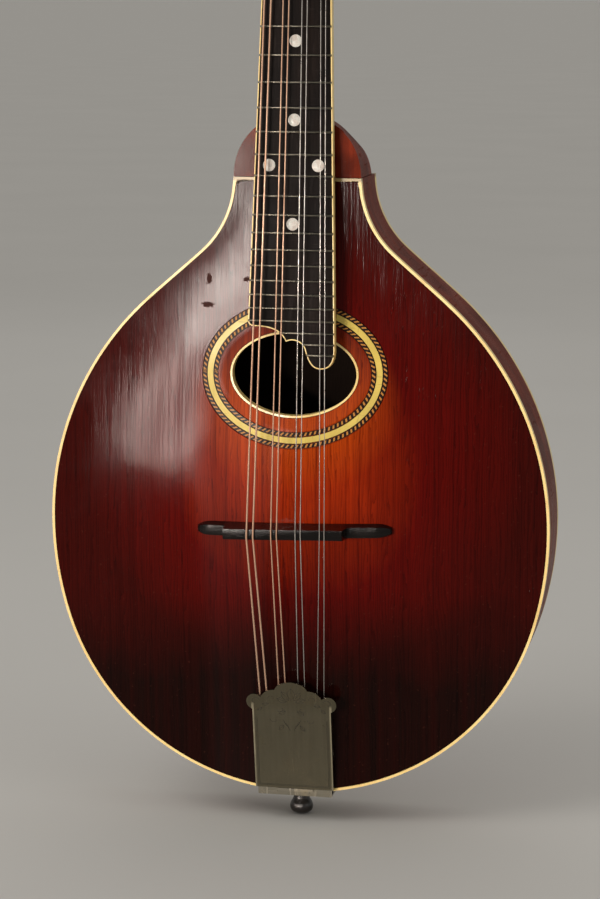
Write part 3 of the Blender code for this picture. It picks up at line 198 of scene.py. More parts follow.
class MandolinStage(PropertyGroup):
    floor: colour("Floor", "Colour of the floor and backdrop", 206, 203, 197)
    key_power: FloatProperty(name="Key Power", description="Power of the main soft light",
                             default=1.6, min=0.0, unit="POWER")
    window_power: FloatProperty(name="Window Power", description="Power of the light that the varnish mirrors",
                                default=1.55, min=0.0, unit="POWER")
    fill_power: FloatProperty(name="Fill Power", description="Power of the fill light",
                              default=1.1, min=0.0, unit="POWER")
    back_power: FloatProperty(name="Back Power", description="Power of the light behind the instrument",
                              default=1.6, min=0.0, unit="POWER")
    sky: FloatProperty(name="Sky", description="Strength of the surrounding light", default=0.5, min=0.0)


class Wire:
    """A shader node's output; arithmetic and the methods add nodes to its tree."""

    def __init__(self, socket):
        self.socket = socket
        self.tree = socket.id_data

    def maths(self, operation, other=0.0, swapped=False):
        first, second = (other, self) if swapped else (self, other)
        return add(self.tree, "ShaderNodeMath", {0: first, 1: second}, operation=operation)

    def __mul__(self, other):
        return self.maths("MULTIPLY", other)

    def __add__(self, other):
        return self.maths("ADD", other)

    def __sub__(self, other):
        return self.maths("SUBTRACT", other)

    def __rsub__(self, other):
        return self.maths("SUBTRACT", other, True)

    def __truediv__(self, other):
        return self.maths("DIVIDE", other)

    def __abs__(self):
        return self.maths("ABSOLUTE")

    def vector(self, operation, other=None, output=0, **scale):
        inputs = {0: self, **scale} if other is None else {0: self, 1: other}
        return add(self.tree, "ShaderNodeVectorMath", inputs, output, operation=operation)

    def length(self):
        return self.vector("LENGTH", output="Value")

    def parts(self):
        return [Wire(end) for end in add(self.tree, "ShaderNodeSeparateXYZ", {0: self}).socket.node.outputs]

    def remap(self, low, high, to_low=0.0, to_high=1.0):
        return add(self.tree, "ShaderNodeMapRange", {0: self, 1: low, 2: high, 3: to_low, 4: to_high})

    def mix(self, first, second, blend="MIX"):
        """From the first colour to the second, by this mask."""
        return add(self.tree, "ShaderNodeMix", {0: self, 6: first, 7: second}, 2, data_type="RGBA",
                   blend_type=blend)

    def ramp(self, stops):
        made = add(self.tree, "ShaderNodeValToRGB", {0: self})
        elements = made.socket.node.color_ramp.elements
        while len(elements) < len(stops):
            elements.new(0.5)
        for element, (place, shade) in zip(elements, stops):
            element.position = place
            element.color = (*shade, 1.0)
        return made

    def noise(self, scale, detail=3.0, roughness=0.55, distortion=0.0):
        return add(self.tree, "ShaderNodeTexNoise", {"Vector": self, "Scale": scale, "Detail": detail,
                                                     "Roughness": roughness, "Distortion": distortion})

    def stretched(self, scale, location=(0.0, 0.0, 0.0), rotation=(0.0, 0.0, 0.0)):
        return add(self.tree, "ShaderNodeMapping", {"Vector": self, "Location": location, "Rotation": rotation,
                                                    "Scale": scale})

    def bump(self, strength, distance):
        return add(self.tree, "ShaderNodeBump", {"Height": self, "Strength": strength, "Distance": distance})

    def group(self, name, **inputs):
        """A shader group fed with this place: its outputs by name."""
        tree = bpy.data.node_groups[name]
        made = add(self.tree, "ShaderNodeGroup", {"Vector": self, **inputs}, node_tree=tree).socket.node
        return {end.name: Wire(end) for end in made.outputs}


def add(tree, kind, inputs=None, output=0, **settings):
    """Add one node; an input can be a value or a wire. Return a wire from one of its outputs."""
    made = tree.nodes.new(kind)
    for key, value in settings.items():
        setattr(made, key, value)
    fill(made, inputs or {})
    return Wire(made.outputs[output])


def fill(made, inputs):
    for key, value in inputs.items():
        socket = made.inputs[key]
        if isinstance(value, Wire):
            made.id_data.links.new(value.socket, socket)
        elif socket.type == "RGBA" and len(value) == 3:
            socket.default_value = (*value, 1.0)
        else:
            socket.default_value = value


def feed(shader, **inputs):
    """Set or link a shader's sockets, named with underscores for spaces."""
    fill(shader, {key.replace("_", " "): value for key, value in inputs.items()})


def joined(x, y, z):
    tree = next(end.tree for end in (x, y, z) if isinstance(end, Wire))
    return add(tree, "ShaderNodeCombineXYZ", {0: x, 1: y, 2: z})


def toned(base, *factors):
    """A colour with all channels, or each one, brightened or darkened."""
    return tuple(min(1.0, c * f) for c, f in zip(base, factors * 3 if len(factors) == 1 else factors))


def start_material(name):
    """A material: return its Principled shader and its object coordinates."""
    material = bpy.data.materials.new(name)
    material.use_nodes = True
    tree = material.node_tree
    return tree.nodes["Principled BSDF"], add(tree, "ShaderNodeTexCoord", output="Object")


def start_group(name, inputs, outputs):
    """A shader group, its sockets named and typed by their defaults: return its inputs and its output node."""
    tree = bpy.data.node_groups.new(name, "ShaderNodeTree")
    for label, value in (("Vector", (0.0, 0.0, 0.0)), *inputs.items()):
        kind = "NodeSocketFloat" if isinstance(value, float) else "NodeSocketVector"
        tree.interface.new_socket(label, in_out="INPUT", socket_type=kind).default_value = value
    for label in outputs:
        tree.interface.new_socket(label, in_out="OUTPUT", socket_type="NodeSocketFloat")
    given = tree.nodes.new("NodeGroupInput").outputs
    return {end.name: Wire(end) for end in given if end.name}, tree.nodes.new("NodeGroupOutput")


def make_groups():
    """The effects that several finishes share."""
    # Straight growth lines that run along one axis, with a slow drift and short pores
    given, out = start_group(
        "straight_grain", {"Across": (1.0, 0.0, 0.0), "Spacing": 0.0016, "Stretch": (1.0, 1.0, 1.0)},
        ("Lines", "Pores", "Drift"))
    across = given["Vector"].vector("DOT_PRODUCT", given["Across"], "Value")
    scaled = given["Vector"].vector("MULTIPLY", given["Stretch"])
    drift = scaled.noise(9.0, 2.0)
    phase = scaled.noise(60.0, 2.0) * 1.3 + (drift * 0.010 + across) / given["Spacing"]
    pores = scaled.vector("MULTIPLY", (6.0, 6.0, 6.0)).noise(260.0, 3.0, 0.7).remap(0.50, 0.72)
    fill(out, {"Lines": phase.maths("FRACT").maths("POWER", 2.4), "Pores": pores, "Drift": drift})

    # Fine scratches, soft smears and a slow waviness, as an old polished surface has
    given, out = start_group("handling", {"Size": 1.0}, ("Scratches", "Smears", "Waviness", "Specks"))
    place = given["Vector"].vector("SCALE", Scale=given["Size"])
    lines = []
    for turn, stretch in ((0.35, (900.0, 40.0, 40.0)), (1.9, (50.0, 40.0, 700.0)), (2.6, (800.0, 60.0, 60.0))):
        pulled = place.stretched(stretch, rotation=(turn, turn * 0.7, turn * 1.3))
        lines.append(pulled.noise(1.0, 1.0, 0.4).remap(0.70, 0.76))
    fill(out, {"Scratches": lines[0].maths("MAXIMUM", lines[1]).maths("MAXIMUM", lines[2]),
               "Smears": place.noise(22.0, 5.0, 0.6, 0.8).remap(0.40, 0.68),
               "Waviness": place.noise(55.0, 2.0), "Specks": place.noise(700.0, 2.0).remap(0.69, 0.74)})

    # A ragged spot at a place, such as a chip in a varnish
    given, out = start_group(
        "spot", {"Place": (0.0, 0.0, 0.0), "Radii": (1.0, 1.0, 1.0), "Ragged": 0.5}, ("Mask",))
    share = given["Vector"].vector("SUBTRACT", given["Place"]).vector("DIVIDE", given["Radii"])
    rough = given["Vector"].noise(900.0, 3.0, 0.7) - 0.5
    fill(out, {"Mask": (rough * (given["Ragged"] * 4.0) + share.length()).remap(1.0, 0.82)})

    # Slanted two-tone strips between dark border lines, on a band's UV map
    given, out = start_group("rope", {"Pitch": 0.0042, "Lean": 0.9}, ("Dark", "Border"))
    along, across, _ = given["Vector"].parts()
    middle = across - 0.5
    wave = (along / given["Pitch"] + middle * given["Lean"]).maths("FRACT")
    fill(out, {"Dark": abs(wave - 0.5).remap(0.315, 0.285), "Border": abs(middle).remap(0.36, 0.39)})


def make_top_finish(colours, sizes):
    """Sunburst varnish on vertical spruce grain, darkened at the rim and worn around the hole."""
    shader, place = start_material("sunburst_top")
    grain = place.group("straight_grain", Across=(1.0, 0.0, 0.0), Spacing=sizes.grain_spacing,
                        Stretch=(14.0, 1.0, 1.4))
    wear = place.group("handling", Size=1.0)
    x, _, z = place.parts()
    wide, tall = BURST_HALF
    burst = place.stretched((1 / wide, 0.0, 1 / tall), (-BURST_X / wide, 0.0, -BURST_Z / tall))
    across, _, up = burst.parts()
    low = up.maths("MINIMUM", up * 1.22)
    cloud = place.stretched((1.0, 1.0, 0.45)).noise(26.0, 4.0, 0.55, 0.4) - 0.5
    away = cloud * 0.34 + joined(across, 0.0, low).length()
    centre, middle, edge = tuple(colours.top_centre), tuple(colours.top_middle), tuple(colours.top_edge)
    between = tuple(0.42 * a + 0.58 * b for a, b in zip(centre, middle))
    deep = tuple(0.45 * a + 0.55 * b for a, b in zip(middle, edge))
    shade = away.ramp([(0.0, centre), (0.20, centre), (0.40, between), (0.58, middle), (0.84, deep), (1.0, edge)])
    wide, tall = GLOW_HALF
    glow = place.stretched((1 / wide, 0.0, 1 / tall), (0.0, 0.0, -GLOW_Z / tall)).length()
    shade = glow.remap(1.0, 0.45, 0.0, 0.62).mix(shade, colours.top_glow)
    shade = (cloud * 0.5 + low).remap(-0.62, -1.02).mix(shade, colours.top_foot)
    fine = place.stretched((1.0 / sizes.grain_spacing, 1.0, 2.2)).noise(1.0, 2.0, 0.5)
    lines = grain["Lines"] * 0.62 + fine.remap(0.46, 0.70, 0.0, 0.42)
    shade = lines.mix(shade, (0.34, 0.22, 0.18), "MULTIPLY")
    shade = (grain["Pores"] * 0.22).mix(shade, (1.0, 0.55, 0.30), "SOFT_LIGHT")
    streak = place.stretched((260.0, 1.0, 3.0)).noise(1.0, 3.0, 0.6)
    shade = streak.remap(0.35, 0.75, 0.0, 0.24).mix(shade, edge)
    chips = None
    for at_x, at_z, half_wide, half_tall in CHIPS:
        spot = joined(x, 0.0, z).group("spot", Place=(at_x, 0.0, at_z), Radii=(half_wide, 1.0, half_tall),
                                       Ragged=0.55)["Mask"]
        chips = spot if chips is None else chips.maths("MAXIMUM", spot)
    bare = tuple(0.65 * a + 0.35 * b for a, b in zip((0.030, 0.008, 0.004), edge))
    shade = (wear["Specks"] * 0.12).mix(chips.mix(shade, bare), (0.16, 0.05, 0.03))
    # Players wear the varnish dull round the hole, so it mirrors the window less there
    wide, tall = ROSETTE_HALF
    reach = place.stretched((1 / wide, 0.0, 1 / tall), (0.0, 0.0, -HOLE_Z / tall)).length()
    below = abs(x + 0.028).remap(0.024, 0.012) * z.remap(0.232, 0.220)
    worn = reach.remap(1.02, 0.92).maths("MAXIMUM", below)
    rough = wear["Smears"] * 0.06 + wear["Scratches"] * 0.02 + 0.12 + worn * 0.30
    ribs = wear["Waviness"] * 0.8 + lines * 0.9 - chips * 1.5
    feed(shader, Base_Color=shade, Roughness=rough + chips * 0.30, Normal=ribs.bump(0.24, 0.00016),
         Coat_Weight=0.04 - chips.maths("MAXIMUM", worn) * 0.04, Coat_Roughness=0.09, Specular_IOR_Level=0.06)


def make_maple_finish(name, light, dark, figure, along, spacing):
    """Red-brown varnish over maple, with figure running across the grain."""
    shader, place = start_material(name)
    wear = place.group("handling", Size=1.0)
    grain = place.group("straight_grain", Across=along, Spacing=spacing, Stretch=(6.0, 6.0, 1.2))
    band = place.stretched(figure).noise(1.0, 2.0, 0.5, 0.5).remap(0.38, 0.66)
    cloud = place.noise(14.0, 4.0, 0.6).remap(0.35, 0.70)
    shade = (band * 0.55 + 0.12).mix(light, dark)
    shade = (cloud * 0.45).mix(shade, dark)
    shade = (grain["Lines"] * 0.35).mix(shade, (0.42, 0.30, 0.26), "MULTIPLY")
    shade = (grain["Pores"] * 0.5).mix(shade, toned(dark, 0.35))
    shade = (wear["Specks"] * 0.4).mix(shade, (0.10, 0.05, 0.03))
    height = wear["Waviness"] + grain["Pores"] * -0.35 - wear["Scratches"] * 0.4
    feed(shader, Base_Color=shade, Roughness=wear["Smears"] * 0.14 + 0.28 + wear["Scratches"] * 0.2,
         Normal=height.bump(0.35, 0.0002), Specular_IOR_Level=0.01, Coat_Weight=0.08, Coat_Roughness=0.12)


def make_bare_wood(name, light, across):
    """Unvarnished wood, with open pores and saw marks."""
    shader, place = start_material(name)
    dark = toned(light, 0.45)
    grain = place.group("straight_grain", Across=across, Spacing=0.0014, Stretch=(8.0, 8.0, 1.5))
    cloud = place.noise(30.0, 4.0)
    shade = cloud.remap(0.35, 0.7).mix(light, dark)
    shade = (grain["Lines"] * 0.6).mix(shade, dark)
    shade = (grain["Pores"] * 0.6).mix(shade, toned(dark, 0.4))
    feed(shader, Base_Color=shade, Roughness=cloud.remap(0.2, 0.8, 0.72, 0.90), Specular_IOR_Level=0.08,
         Normal=(grain["Pores"] * -0.6 + grain["Lines"]).bump(0.5, 0.0003))


def make_ivory(name, light, dark):
    """Yellowed celluloid: streaks along it, fine crazing, grime in the scratches, and painted shade in the neck
    joint.
    """
    shader, place = start_material(name)
    wear = place.group("handling", Size=1.6)
    streak = place.noise(48.0, 5.0, 0.62, 0.6)
    shade = streak.remap(0.42, 0.80, 0.0, 0.55).mix(light, dark)
    shade = (place.noise(15.0, 3.0).remap(0.42, 0.75) * 0.40).mix(shade, dark)
    cracks = add(place.tree, "ShaderNodeTexVoronoi", {"Vector": place, "Scale": 420.0}, "Distance",
                 feature="DISTANCE_TO_EDGE")
    crack = cracks.remap(0.035, 0.0) * streak.remap(0.50, 0.64)
    shade = (crack * 0.35).mix(shade, GRIME_AND_JOINT_SHADE)
    shade = (wear["Specks"] * 0.5).mix(shade, GRIME_AND_JOINT_SHADE)
    _, depth, up = place.parts()
    # Painted shade where the binding tucks into the neck joint, in the same dark colour as the dirt
    joint_shade = up.remap(JOINT_Z, JOINT_Z + 0.0012) * up.remap(JOINT_Z + 0.0035, JOINT_Z + 0.0030)
    joint_shade = joint_shade * depth.remap(JOINT_Y, JOINT_Y + 0.0010)
    shade = (joint_shade * 0.65).mix(shade, GRIME_AND_JOINT_SHADE)
    feed(shader, Base_Color=shade, Roughness=wear["Smears"] * 0.16 + 0.30, Coat_Weight=0.25, Coat_Roughness=0.2,
         Normal=(wear["Waviness"] * 0.8 - crack).bump(0.25, 0.0001), Subsurface_Weight=0.08,
         Subsurface_Scale=0.001)


def band_place(place):
    """The place along and across a band, from the piece's own UV map."""
    return add(place.tree, "ShaderNodeUVMap", uv_map="band")


def make_rope(colours, sizes):
    """Rope purfling: dark slanted strips on tan wood."""
    shader, place = start_material("rope_purfling")
    uv = band_place(place)
    rope = uv.group("rope", Pitch=sizes.rope_pitch, Lean=0.62)
    fibre = uv.stretched((600.0, 14.0, 1.0)).noise(1.0, 3.0)
    light = fibre.remap(0.3, 0.75).mix(colours.rope_light, toned(colours.rope_light, 0.55))
    dark = fibre.remap(0.4, 0.8).mix(colours.rope_dark, toned(colours.rope_dark, 2.2))
    shade = rope["Border"].mix(rope["Dark"].mix(light, dark), colours.rope_dark)
    feed(shader, Base_Color=shade, Roughness=0.42, Coat_Weight=0.03, Coat_Roughness=0.14,
         Normal=rope["Dark"].bump(0.15, 0.00008), Specular_IOR_Level=0.08)


def make_ring(colours):
    """The rosette's broad ring, edged with a thin dark line on both sides and duller at its foot."""
    shader, place = start_material("rosette_ivory")
    wear = place.group("handling", Size=2.0)
    across = abs(band_place(place).parts()[1] - 0.5)
    ring = colours.ring
    shade = place.noise(60.0, 4.0).remap(0.35, 0.75, 0.0, 0.6).mix(ring, toned(ring, 0.66))
    shade = (wear["Scratches"] * 0.5).mix(shade, toned(ring, 0.3))
    shade = across.remap(0.44, 0.46).mix(shade, colours.rope_dark)
    foot = place.parts()[2].remap(0.244, 0.226, 0.22, 0.45)
    feed(shader, Base_Color=shade, Roughness=wear["Smears"] * 0.15 + foot, Coat_Weight=0.04, Coat_Roughness=0.12,
         Specular_IOR_Level=0.2, Normal=wear["Waviness"].bump(0.2, 0.0001))


def make_ebony(name, base, gloss, across, finger_wear=0.0, gleam=0.3):
    """Black wood with faint brown streaks, pores along it and a polish from playing."""
    shader, place = start_material(name)
    grain = place.group("straight_grain", Across=across, Spacing=0.0021, Stretch=(5.0, 5.0, 1.4))
    wear = place.group("handling", Size=1.3)
    shade = grain["Drift"].remap(0.45, 0.75, 0.0, 0.5).mix(base, toned(base, 3.4, 2.6, 2.2))
    shade = (grain["Lines"] * 0.5).mix(shade, toned(base, 0.45))
    shade = (grain["Pores"] * 0.6).mix(shade, toned(base, 0.3))
    shade = (wear["Scratches"] * (0.25 + finger_wear)).mix(shade, toned(base, 4.0))
    height = grain["Pores"] * -0.7 + wear["Waviness"] * 0.7
    feed(shader, Base_Color=shade, Roughness=wear["Smears"] * 0.12 + gloss + grain["Pores"] * 0.15,
         Normal=height.bump(0.35, 0.00018), Specular_IOR_Level=gleam)


def make_pearl(pearl):
    """Mother of pearl: cloudy cells that shift between cream, green and rose."""
    shader, place = start_material("mother_of_pearl")
    swirl = place.noise(260.0, 4.0, 0.65, 1.2)
    grit = place.noise(1500.0, 3.0, 0.7)
    shade = swirl.ramp([(0.30, toned(pearl, 0.70, 0.80, 0.74)), (0.45, pearl),
                        (0.58, toned(pearl, 0.94, 0.84, 0.80)), (0.72, toned(pearl, 0.66))])
    shade = grit.remap(0.40, 0.70, 0.0, 0.45).mix(shade, toned(pearl, 0.45))
    feed(shader, Base_Color=shade, Roughness=swirl.remap(0.3, 0.7, 0.30, 0.44), Coat_Weight=0.12,
         Coat_Roughness=0.1, Specular_IOR_Level=0.2, Normal=grit.bump(0.12, 0.00005))


def make_bone(bone):
    """Bone: cream with short grey grain and a soft polish."""
    shader, place = start_material("bone_nut")
    short = place.stretched((900.0, 900.0, 260.0)).noise(1.0, 3.0, 0.6)
    cloud = place.noise(90.0, 3.0)
    shade = cloud.remap(0.4, 0.75, 0.0, 0.5).mix(bone, toned(bone, 0.82, 0.70, 0.46))
    shade = short.remap(0.58, 0.75, 0.0, 0.5).mix(shade, toned(bone, 0.35))
    feed(shader, Base_Color=shade, Roughness=cloud.remap(0.2, 0.8, 0.26, 0.42), Normal=short.bump(0.18, 0.0001),
         Subsurface_Weight=0.06, Subsurface_Scale=0.001)


def make_metal(name, base, dull, gloss, brushed, wear_size=1.0, dirt=0.5, edge=None):
    """Old plated metal: brush lines, fine scratches, dull patches, dirt, and painted highlights along the sides.
    """
    shader, place = start_material(name)
    wear = place.group("handling", Size=wear_size)
    patch = place.noise(62.0 * wear_size, 5.0, 0.65, 0.7).remap(0.50, 0.72)
    brush = place.stretched(brushed).noise(1.0, 2.0, 0.5)
    shade = (patch * 0.75).mix(base, dull)
    shade = (wear["Specks"] * dirt).mix(shade, toned(dull, 0.16))
    shade = brush.remap(0.35, 0.65, 0.0, 0.14).mix(shade, toned(dull, 0.5))
    if edge:
        x, _, z = place.parts()
        # Painted highlights: thin bright lines down both sides of the cover, below its crown
        side = abs(x).remap(edge - 0.0009, edge - 0.0005) * abs(x).remap(edge + 0.0006, edge + 0.0003)
        side = side * z.remap(COVER_CROWN_Z + 0.0055, COVER_CROWN_Z + 0.0040)
        shade = (side * 0.9).mix(shade, toned(base, 3.4))
        # Painted reflection: the crown's tip a little darker and the plain lower part lighter
        shade = (z.remap(COVER_CROWN_Z, COVER_CROWN_Z + 0.0050) * 0.22).mix(shade, dull)
        shade = z.remap(0.050, 0.022, 0.0, 0.30).mix(shade, toned(base, 1.5))
    height = brush * 0.20 + wear["Waviness"] * 0.9 - wear["Scratches"] * 0.25
    feed(shader, Base_Color=shade, Metallic=patch.remap(0.0, 1.0, 1.0, 0.82), Normal=height.bump(0.22, 0.00012),
         Roughness=patch * 0.22 + gloss + wear["Smears"] * 0.08 + wear["Scratches"] * 0.14)


def make_wound_string(bronze):
    """Bronze winding: close turns on the string's own UV map, dull in between."""
    shader, place = start_material("bronze_winding")
    along, across, _ = band_place(place).parts()
    turn = (along / 0.00042 + across).maths("FRACT")
    gap = abs(turn - 0.5).remap(0.30, 0.46)
    tone = place.noise(40.0, 3.0).remap(0.35, 0.7)
    shade = (tone * 0.55).mix(bronze, toned(bronze, 0.62, 0.50, 0.44))
    shade = (gap * 0.8).mix(shade, toned(bronze, 0.12))
    feed(shader, Base_Color=shade, Metallic=0.6, Roughness=tone.remap(0.0, 1.0, 0.30, 0.46),
         Normal=gap.bump(-0.6, 0.00008))


def make_finishes(colours, sizes):
    """Every material of the instrument, each made once."""
    make_top_finish(colours, sizes)
    back, edge = colours.back_wood, colours.back_edge
    make_maple_finish("varnished_rim", back, edge, (70.0, 70.0, 9.0), (0.0, 1.0, 0.0), 0.0050)
    make_maple_finish("varnished_back", back, edge, (16.0, 16.0, 120.0), (1.0, 0.0, 0.0), 0.0034)
    make_maple_finish("varnished_neck", colours.neck_wood, toned(edge, 0.6), (60.0, 60.0, 34.0), (1.0, 0.2, 0.0),
                      0.0026)
    # The inside wood's near-black colour is painted shade inside the body
    make_bare_wood("inside_wood", colours.inside, (1.0, 0.0, 0.0))
    make_ivory("aged_ivory", colours.ivory, colours.ivory_dark)
    make_ivory("ivory_button", colours.button, toned(colours.button, 0.80, 0.62, 0.36))
    make_rope(colours, sizes)
    make_ring(colours)
    ebony = colours.ebony
    make_ebony("ebony_board", toned(ebony, 0.55), 0.42, (1.0, 0.0, 0.0), 0.15, 0.06)
    make_ebony("ebony_bridge", toned(ebony, 0.25), 0.12, (0.0, 0.0, 1.0), 0.0, 0.20)
    make_ebony("ebony_turned", toned(ebony, 0.35), 0.06, (1.0, 0.0, 0.0), 0.0, 0.7)
    make_ebony("black_veneer", toned(ebony, 0.6), 0.20, (1.0, 0.0, 0.0))
    make_pearl(tuple(colours.pearl))
    make_bone(colours.bone)
    make_wound_string(colours.bronze)
    nickel, tarnish, brass, steel = colours.nickel, colours.tarnish, colours.brass, colours.steel
    make_metal("worn_nickel", nickel, tarnish, 0.20, (60.0, 60.0, 2400.0))
    make_metal("cover_nickel", toned(nickel, 0.46, 0.44, 0.38), toned(tarnish, 0.42), 0.07, (700.0, 100.0, 40.0),
               1.0, 0.35, COVER_HALF)
    make_metal("cut_metal", toned(nickel, 0.16), toned(tarnish, 0.2), 0.35, (90.0, 90.0, 90.0), 2.0)
    make_metal("fret_nickel", toned(nickel, 0.45), toned(tarnish, 0.4), 0.26, (2600.0, 200.0, 200.0), 2.5, 0.25)
    make_metal("worn_brass", brass, toned(brass, 0.45), 0.22, (900.0, 900.0, 60.0), 2.0)
    make_metal("plain_steel", steel, toned(steel, 0.5), 0.24, (1500.0, 1500.0, 12.0), 0.5, 0.1)


def pick(*pieces):
    """Select these pieces alone, the first one active."""
    if bpy.context.object is not None and bpy.context.object.mode != "OBJECT":
        bpy.ops.object.mode_set(mode="OBJECT")
    bpy.ops.object.select_all(action="DESELECT")
    for piece in pieces:
        piece.select_set(True)
        bpy.context.view_layer.objects.active = pieces[0]


@contextmanager
def editing(piece, kind="FACE"):
    """Edit mode on one piece, all of it selected."""
    pick(piece)
    bpy.ops.object.mode_set(mode="EDIT")
    bpy.ops.mesh.select_mode(type=kind)
    bpy.ops.mesh.select_all(action="SELECT")
    yield
    bpy.ops.object.mode_set(mode="OBJECT")


def choose(piece, wanted, kind="FACE"):
    """In edit mode, select only the faces or vertices that the test wants."""
    bpy.ops.mesh.select_mode(type=kind)
    bpy.ops.mesh.select_all(action="DESELECT")
    shape = bmesh.from_edit_mesh(piece.data)
    found = [part for part in (shape.faces if kind == "FACE" else shape.verts) if wanted(part)]
    for part in found:
        part.select_set(True)
    bmesh.update_edit_mesh(piece.data)
    if not found:
        raise RuntimeError("Nothing of %s is where it was looked for" % piece.name)


def keep_place(piece):
    """Give the mesh its place, so that the object sits at the origin, unturned and unscaled."""
    pick(piece)
    bpy.ops.object.transform_apply(location=True, rotation=True, scale=True)
    return piece


def placed(piece, matrix):
    piece.data.transform(matrix)
    piece.data.update()
    return piece


def linked(name, data):
    """A new object in the scene."""
    made = bpy.data.objects.new(name, data)
    bpy.context.collection.objects.link(made)
    return made


def drawn(name, corners, edges=(), faces=()):
    mesh = bpy.data.meshes.new(name)
    mesh.from_pydata(corners, edges, faces)
    return linked(name, mesh)


def copied(piece, name, matrix=None):
    made = linked(name, piece.data.copy())
    return placed(made, matrix) if matrix else made


def joined_up(name, parts):
    """Make one piece of several."""
    pick(*parts)
    bpy.ops.object.join()
    parts[0].name = name
    parts[0].data.name = name
    return parts[0]


def modified(piece, kind, **settings):
    """Apply a modifier to a piece."""
    pick(piece)
    made = piece.modifiers.new(kind, kind)
    for key, value in settings.items():
        setattr(made, key, value)
    bpy.ops.object.modifier_apply(modifier=made.name)


def bevelled(piece, width, segments=2, angle=0.6):
    modified(piece, "BEVEL", width=width, segments=segments, limit_method="ANGLE", angle_limit=angle)


def rounded(piece, levels):
    modified(piece, "SUBSURF", levels=levels, render_levels=levels)


def shaded(piece, angle=0.6):
    pick(piece)
    bpy.ops.object.shade_smooth_by_angle(angle=angle)
    return piece


def finished(piece, body, slot, material, replaces=()):
    """Give a piece its material, its body and the solids that it stands for."""
    keep_place(piece)
    piece.data.materials.clear()
    piece.data.materials.append(bpy.data.materials[material])
    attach(piece, body)
    if replaces:
        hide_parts(*replaces)
    return piece


def line_inside(piece, wanted):
    """Give the faces that the test wants the wood of the inside, dark as painted shade."""
    piece.data.materials.append(bpy.data.materials["inside_wood"])
    for face in piece.data.polygons:
        if wanted(face.center, face.normal):
            face.material_index = 1


def tidy_copy(source, name):
    """A merged copy of a solid's mesh, as an object of its own."""
    made = copied(bpy.data.objects[source], name)
    with editing(made, "VERT"):
        bpy.ops.mesh.remove_doubles(threshold=1e-6)
    return made


def refined(source, name, sharp=0.6, levels=2, smooth=0.6, walls=()):
    """A copy of a solid with its curves drawn smooth, its sharp edges kept and some walls shifted."""
    made = tidy_copy(source, name)
    for wall, shift in walls:
        with editing(made):
            choose(made, wall)
            bpy.ops.transform.shrink_fatten(value=shift, use_even_offset=True)
    with editing(made):
        bpy.ops.mesh.tris_convert_to_quads(face_threshold=0.7, shape_threshold=1.2)
        bpy.ops.mesh.select_mode(type="EDGE")
        bpy.ops.mesh.select_all(action="DESELECT")
        bpy.ops.mesh.edges_select_sharp(sharpness=sharp)
        bpy.ops.transform.edge_crease(value=1.0)
    rounded(made, levels)
    return shaded(made, smooth)


def dressed(source, name, slot, material, body="instrument", **shaping):
    """A refined copy that takes the place of its solid."""
    return finished(refined(source, name, **shaping), body, slot, material, [source])


def turned(name, profile, sides):
    """A lathe-turned piece about Z from (radius, height) pairs."""
    made = drawn(name, [(r, 0.0, z) for r, z in profile], [(i, i + 1) for i in range(len(profile) - 1)])
    with editing(made, "EDGE"):
        bpy.ops.mesh.spin(steps=sides, angle=2 * math.pi, center=(0, 0, 0), axis=(0, 0, 1))
        bpy.ops.mesh.select_all(action="SELECT")
        bpy.ops.mesh.remove_doubles(threshold=1e-7)
        bpy.ops.mesh.select_all(action="SELECT")
        bpy.ops.mesh.normals_make_consistent(inside=False)
    return made


def primitive(kind, **settings):
    """Add one of Blender's primitives with nothing else selected."""
    pick()
    getattr(bpy.ops.mesh, "primitive_%s_add" % kind)(**settings)
    return keep_place(bpy.context.object)


def cut_by(piece, cutter):
    """Take the cutter's shape out of a piece."""
    modified(piece, "BOOLEAN", operation="DIFFERENCE", solver="EXACT", object=cutter)
    bpy.data.objects.remove(cutter)


def swept(name, points, radius, sides):
    """A round rod along points, made as a bevelled curve and turned into a mesh."""
    path = bpy.data.curves.new(name, "CURVE")
    path.dimensions = "3D"
    path.bevel_depth = radius
    path.bevel_resolution = max(0, sides // 4 - 1)
    path.use_fill_caps = True
    path.resolution_u = 1
    line = path.splines.new("POLY")
    line.points.add(len(points) - 1)
    for point, place in zip(line.points, points):
        point.co = (*place, 1.0)
    pick(linked(name, path))
    bpy.ops.object.convert(target="MESH")
    return bpy.context.object


def band_uv(piece, along_across):
    """Write a UV map named band: each corner's place along and across, from its position."""
    mesh = piece.data
    layer = mesh.uv_layers.get("band") or mesh.uv_layers.new(name="band")
    places = np.empty(len(mesh.vertices) * 3)
    mesh.vertices.foreach_get("co", places)
    corners = np.empty(len(mesh.loops), dtype=np.int32)
    mesh.loops.foreach_get("vertex_index", corners)
    values = np.stack(along_across(*places.reshape(-1, 3).T), axis=1)
    layer.data.foreach_set("uv", values[corners].astype(np.float32).ravel())
    mesh.uv_layers.active = layer


def oval_band(inner, outer):
    """UV maker for a band between two ovals round the sound hole."""
    steps = np.linspace(-math.pi, math.pi, 721)
    wide, tall = ((inner[i] + outer[i]) / 2 for i in (0, 1))
    speed = np.hypot(wide * np.sin(steps), tall * np.cos(steps))
    travel = np.concatenate([[0.0], np.cumsum((speed[1:] + speed[:-1]) / 2 * np.diff(steps))])

    def along_across(x, y, z):
        up = z - HOLE_Z
        out_of = np.hypot(x / inner[0], up / inner[1]) - 1
        short_of = 1 - np.hypot(x / outer[0], up / outer[1])
        across = out_of / np.maximum(out_of + short_of, 1e-9)
        return np.interp(np.arctan2(up / tall, x / wide), steps, travel), np.clip(across, 0.0, 1.0)

    return along_across


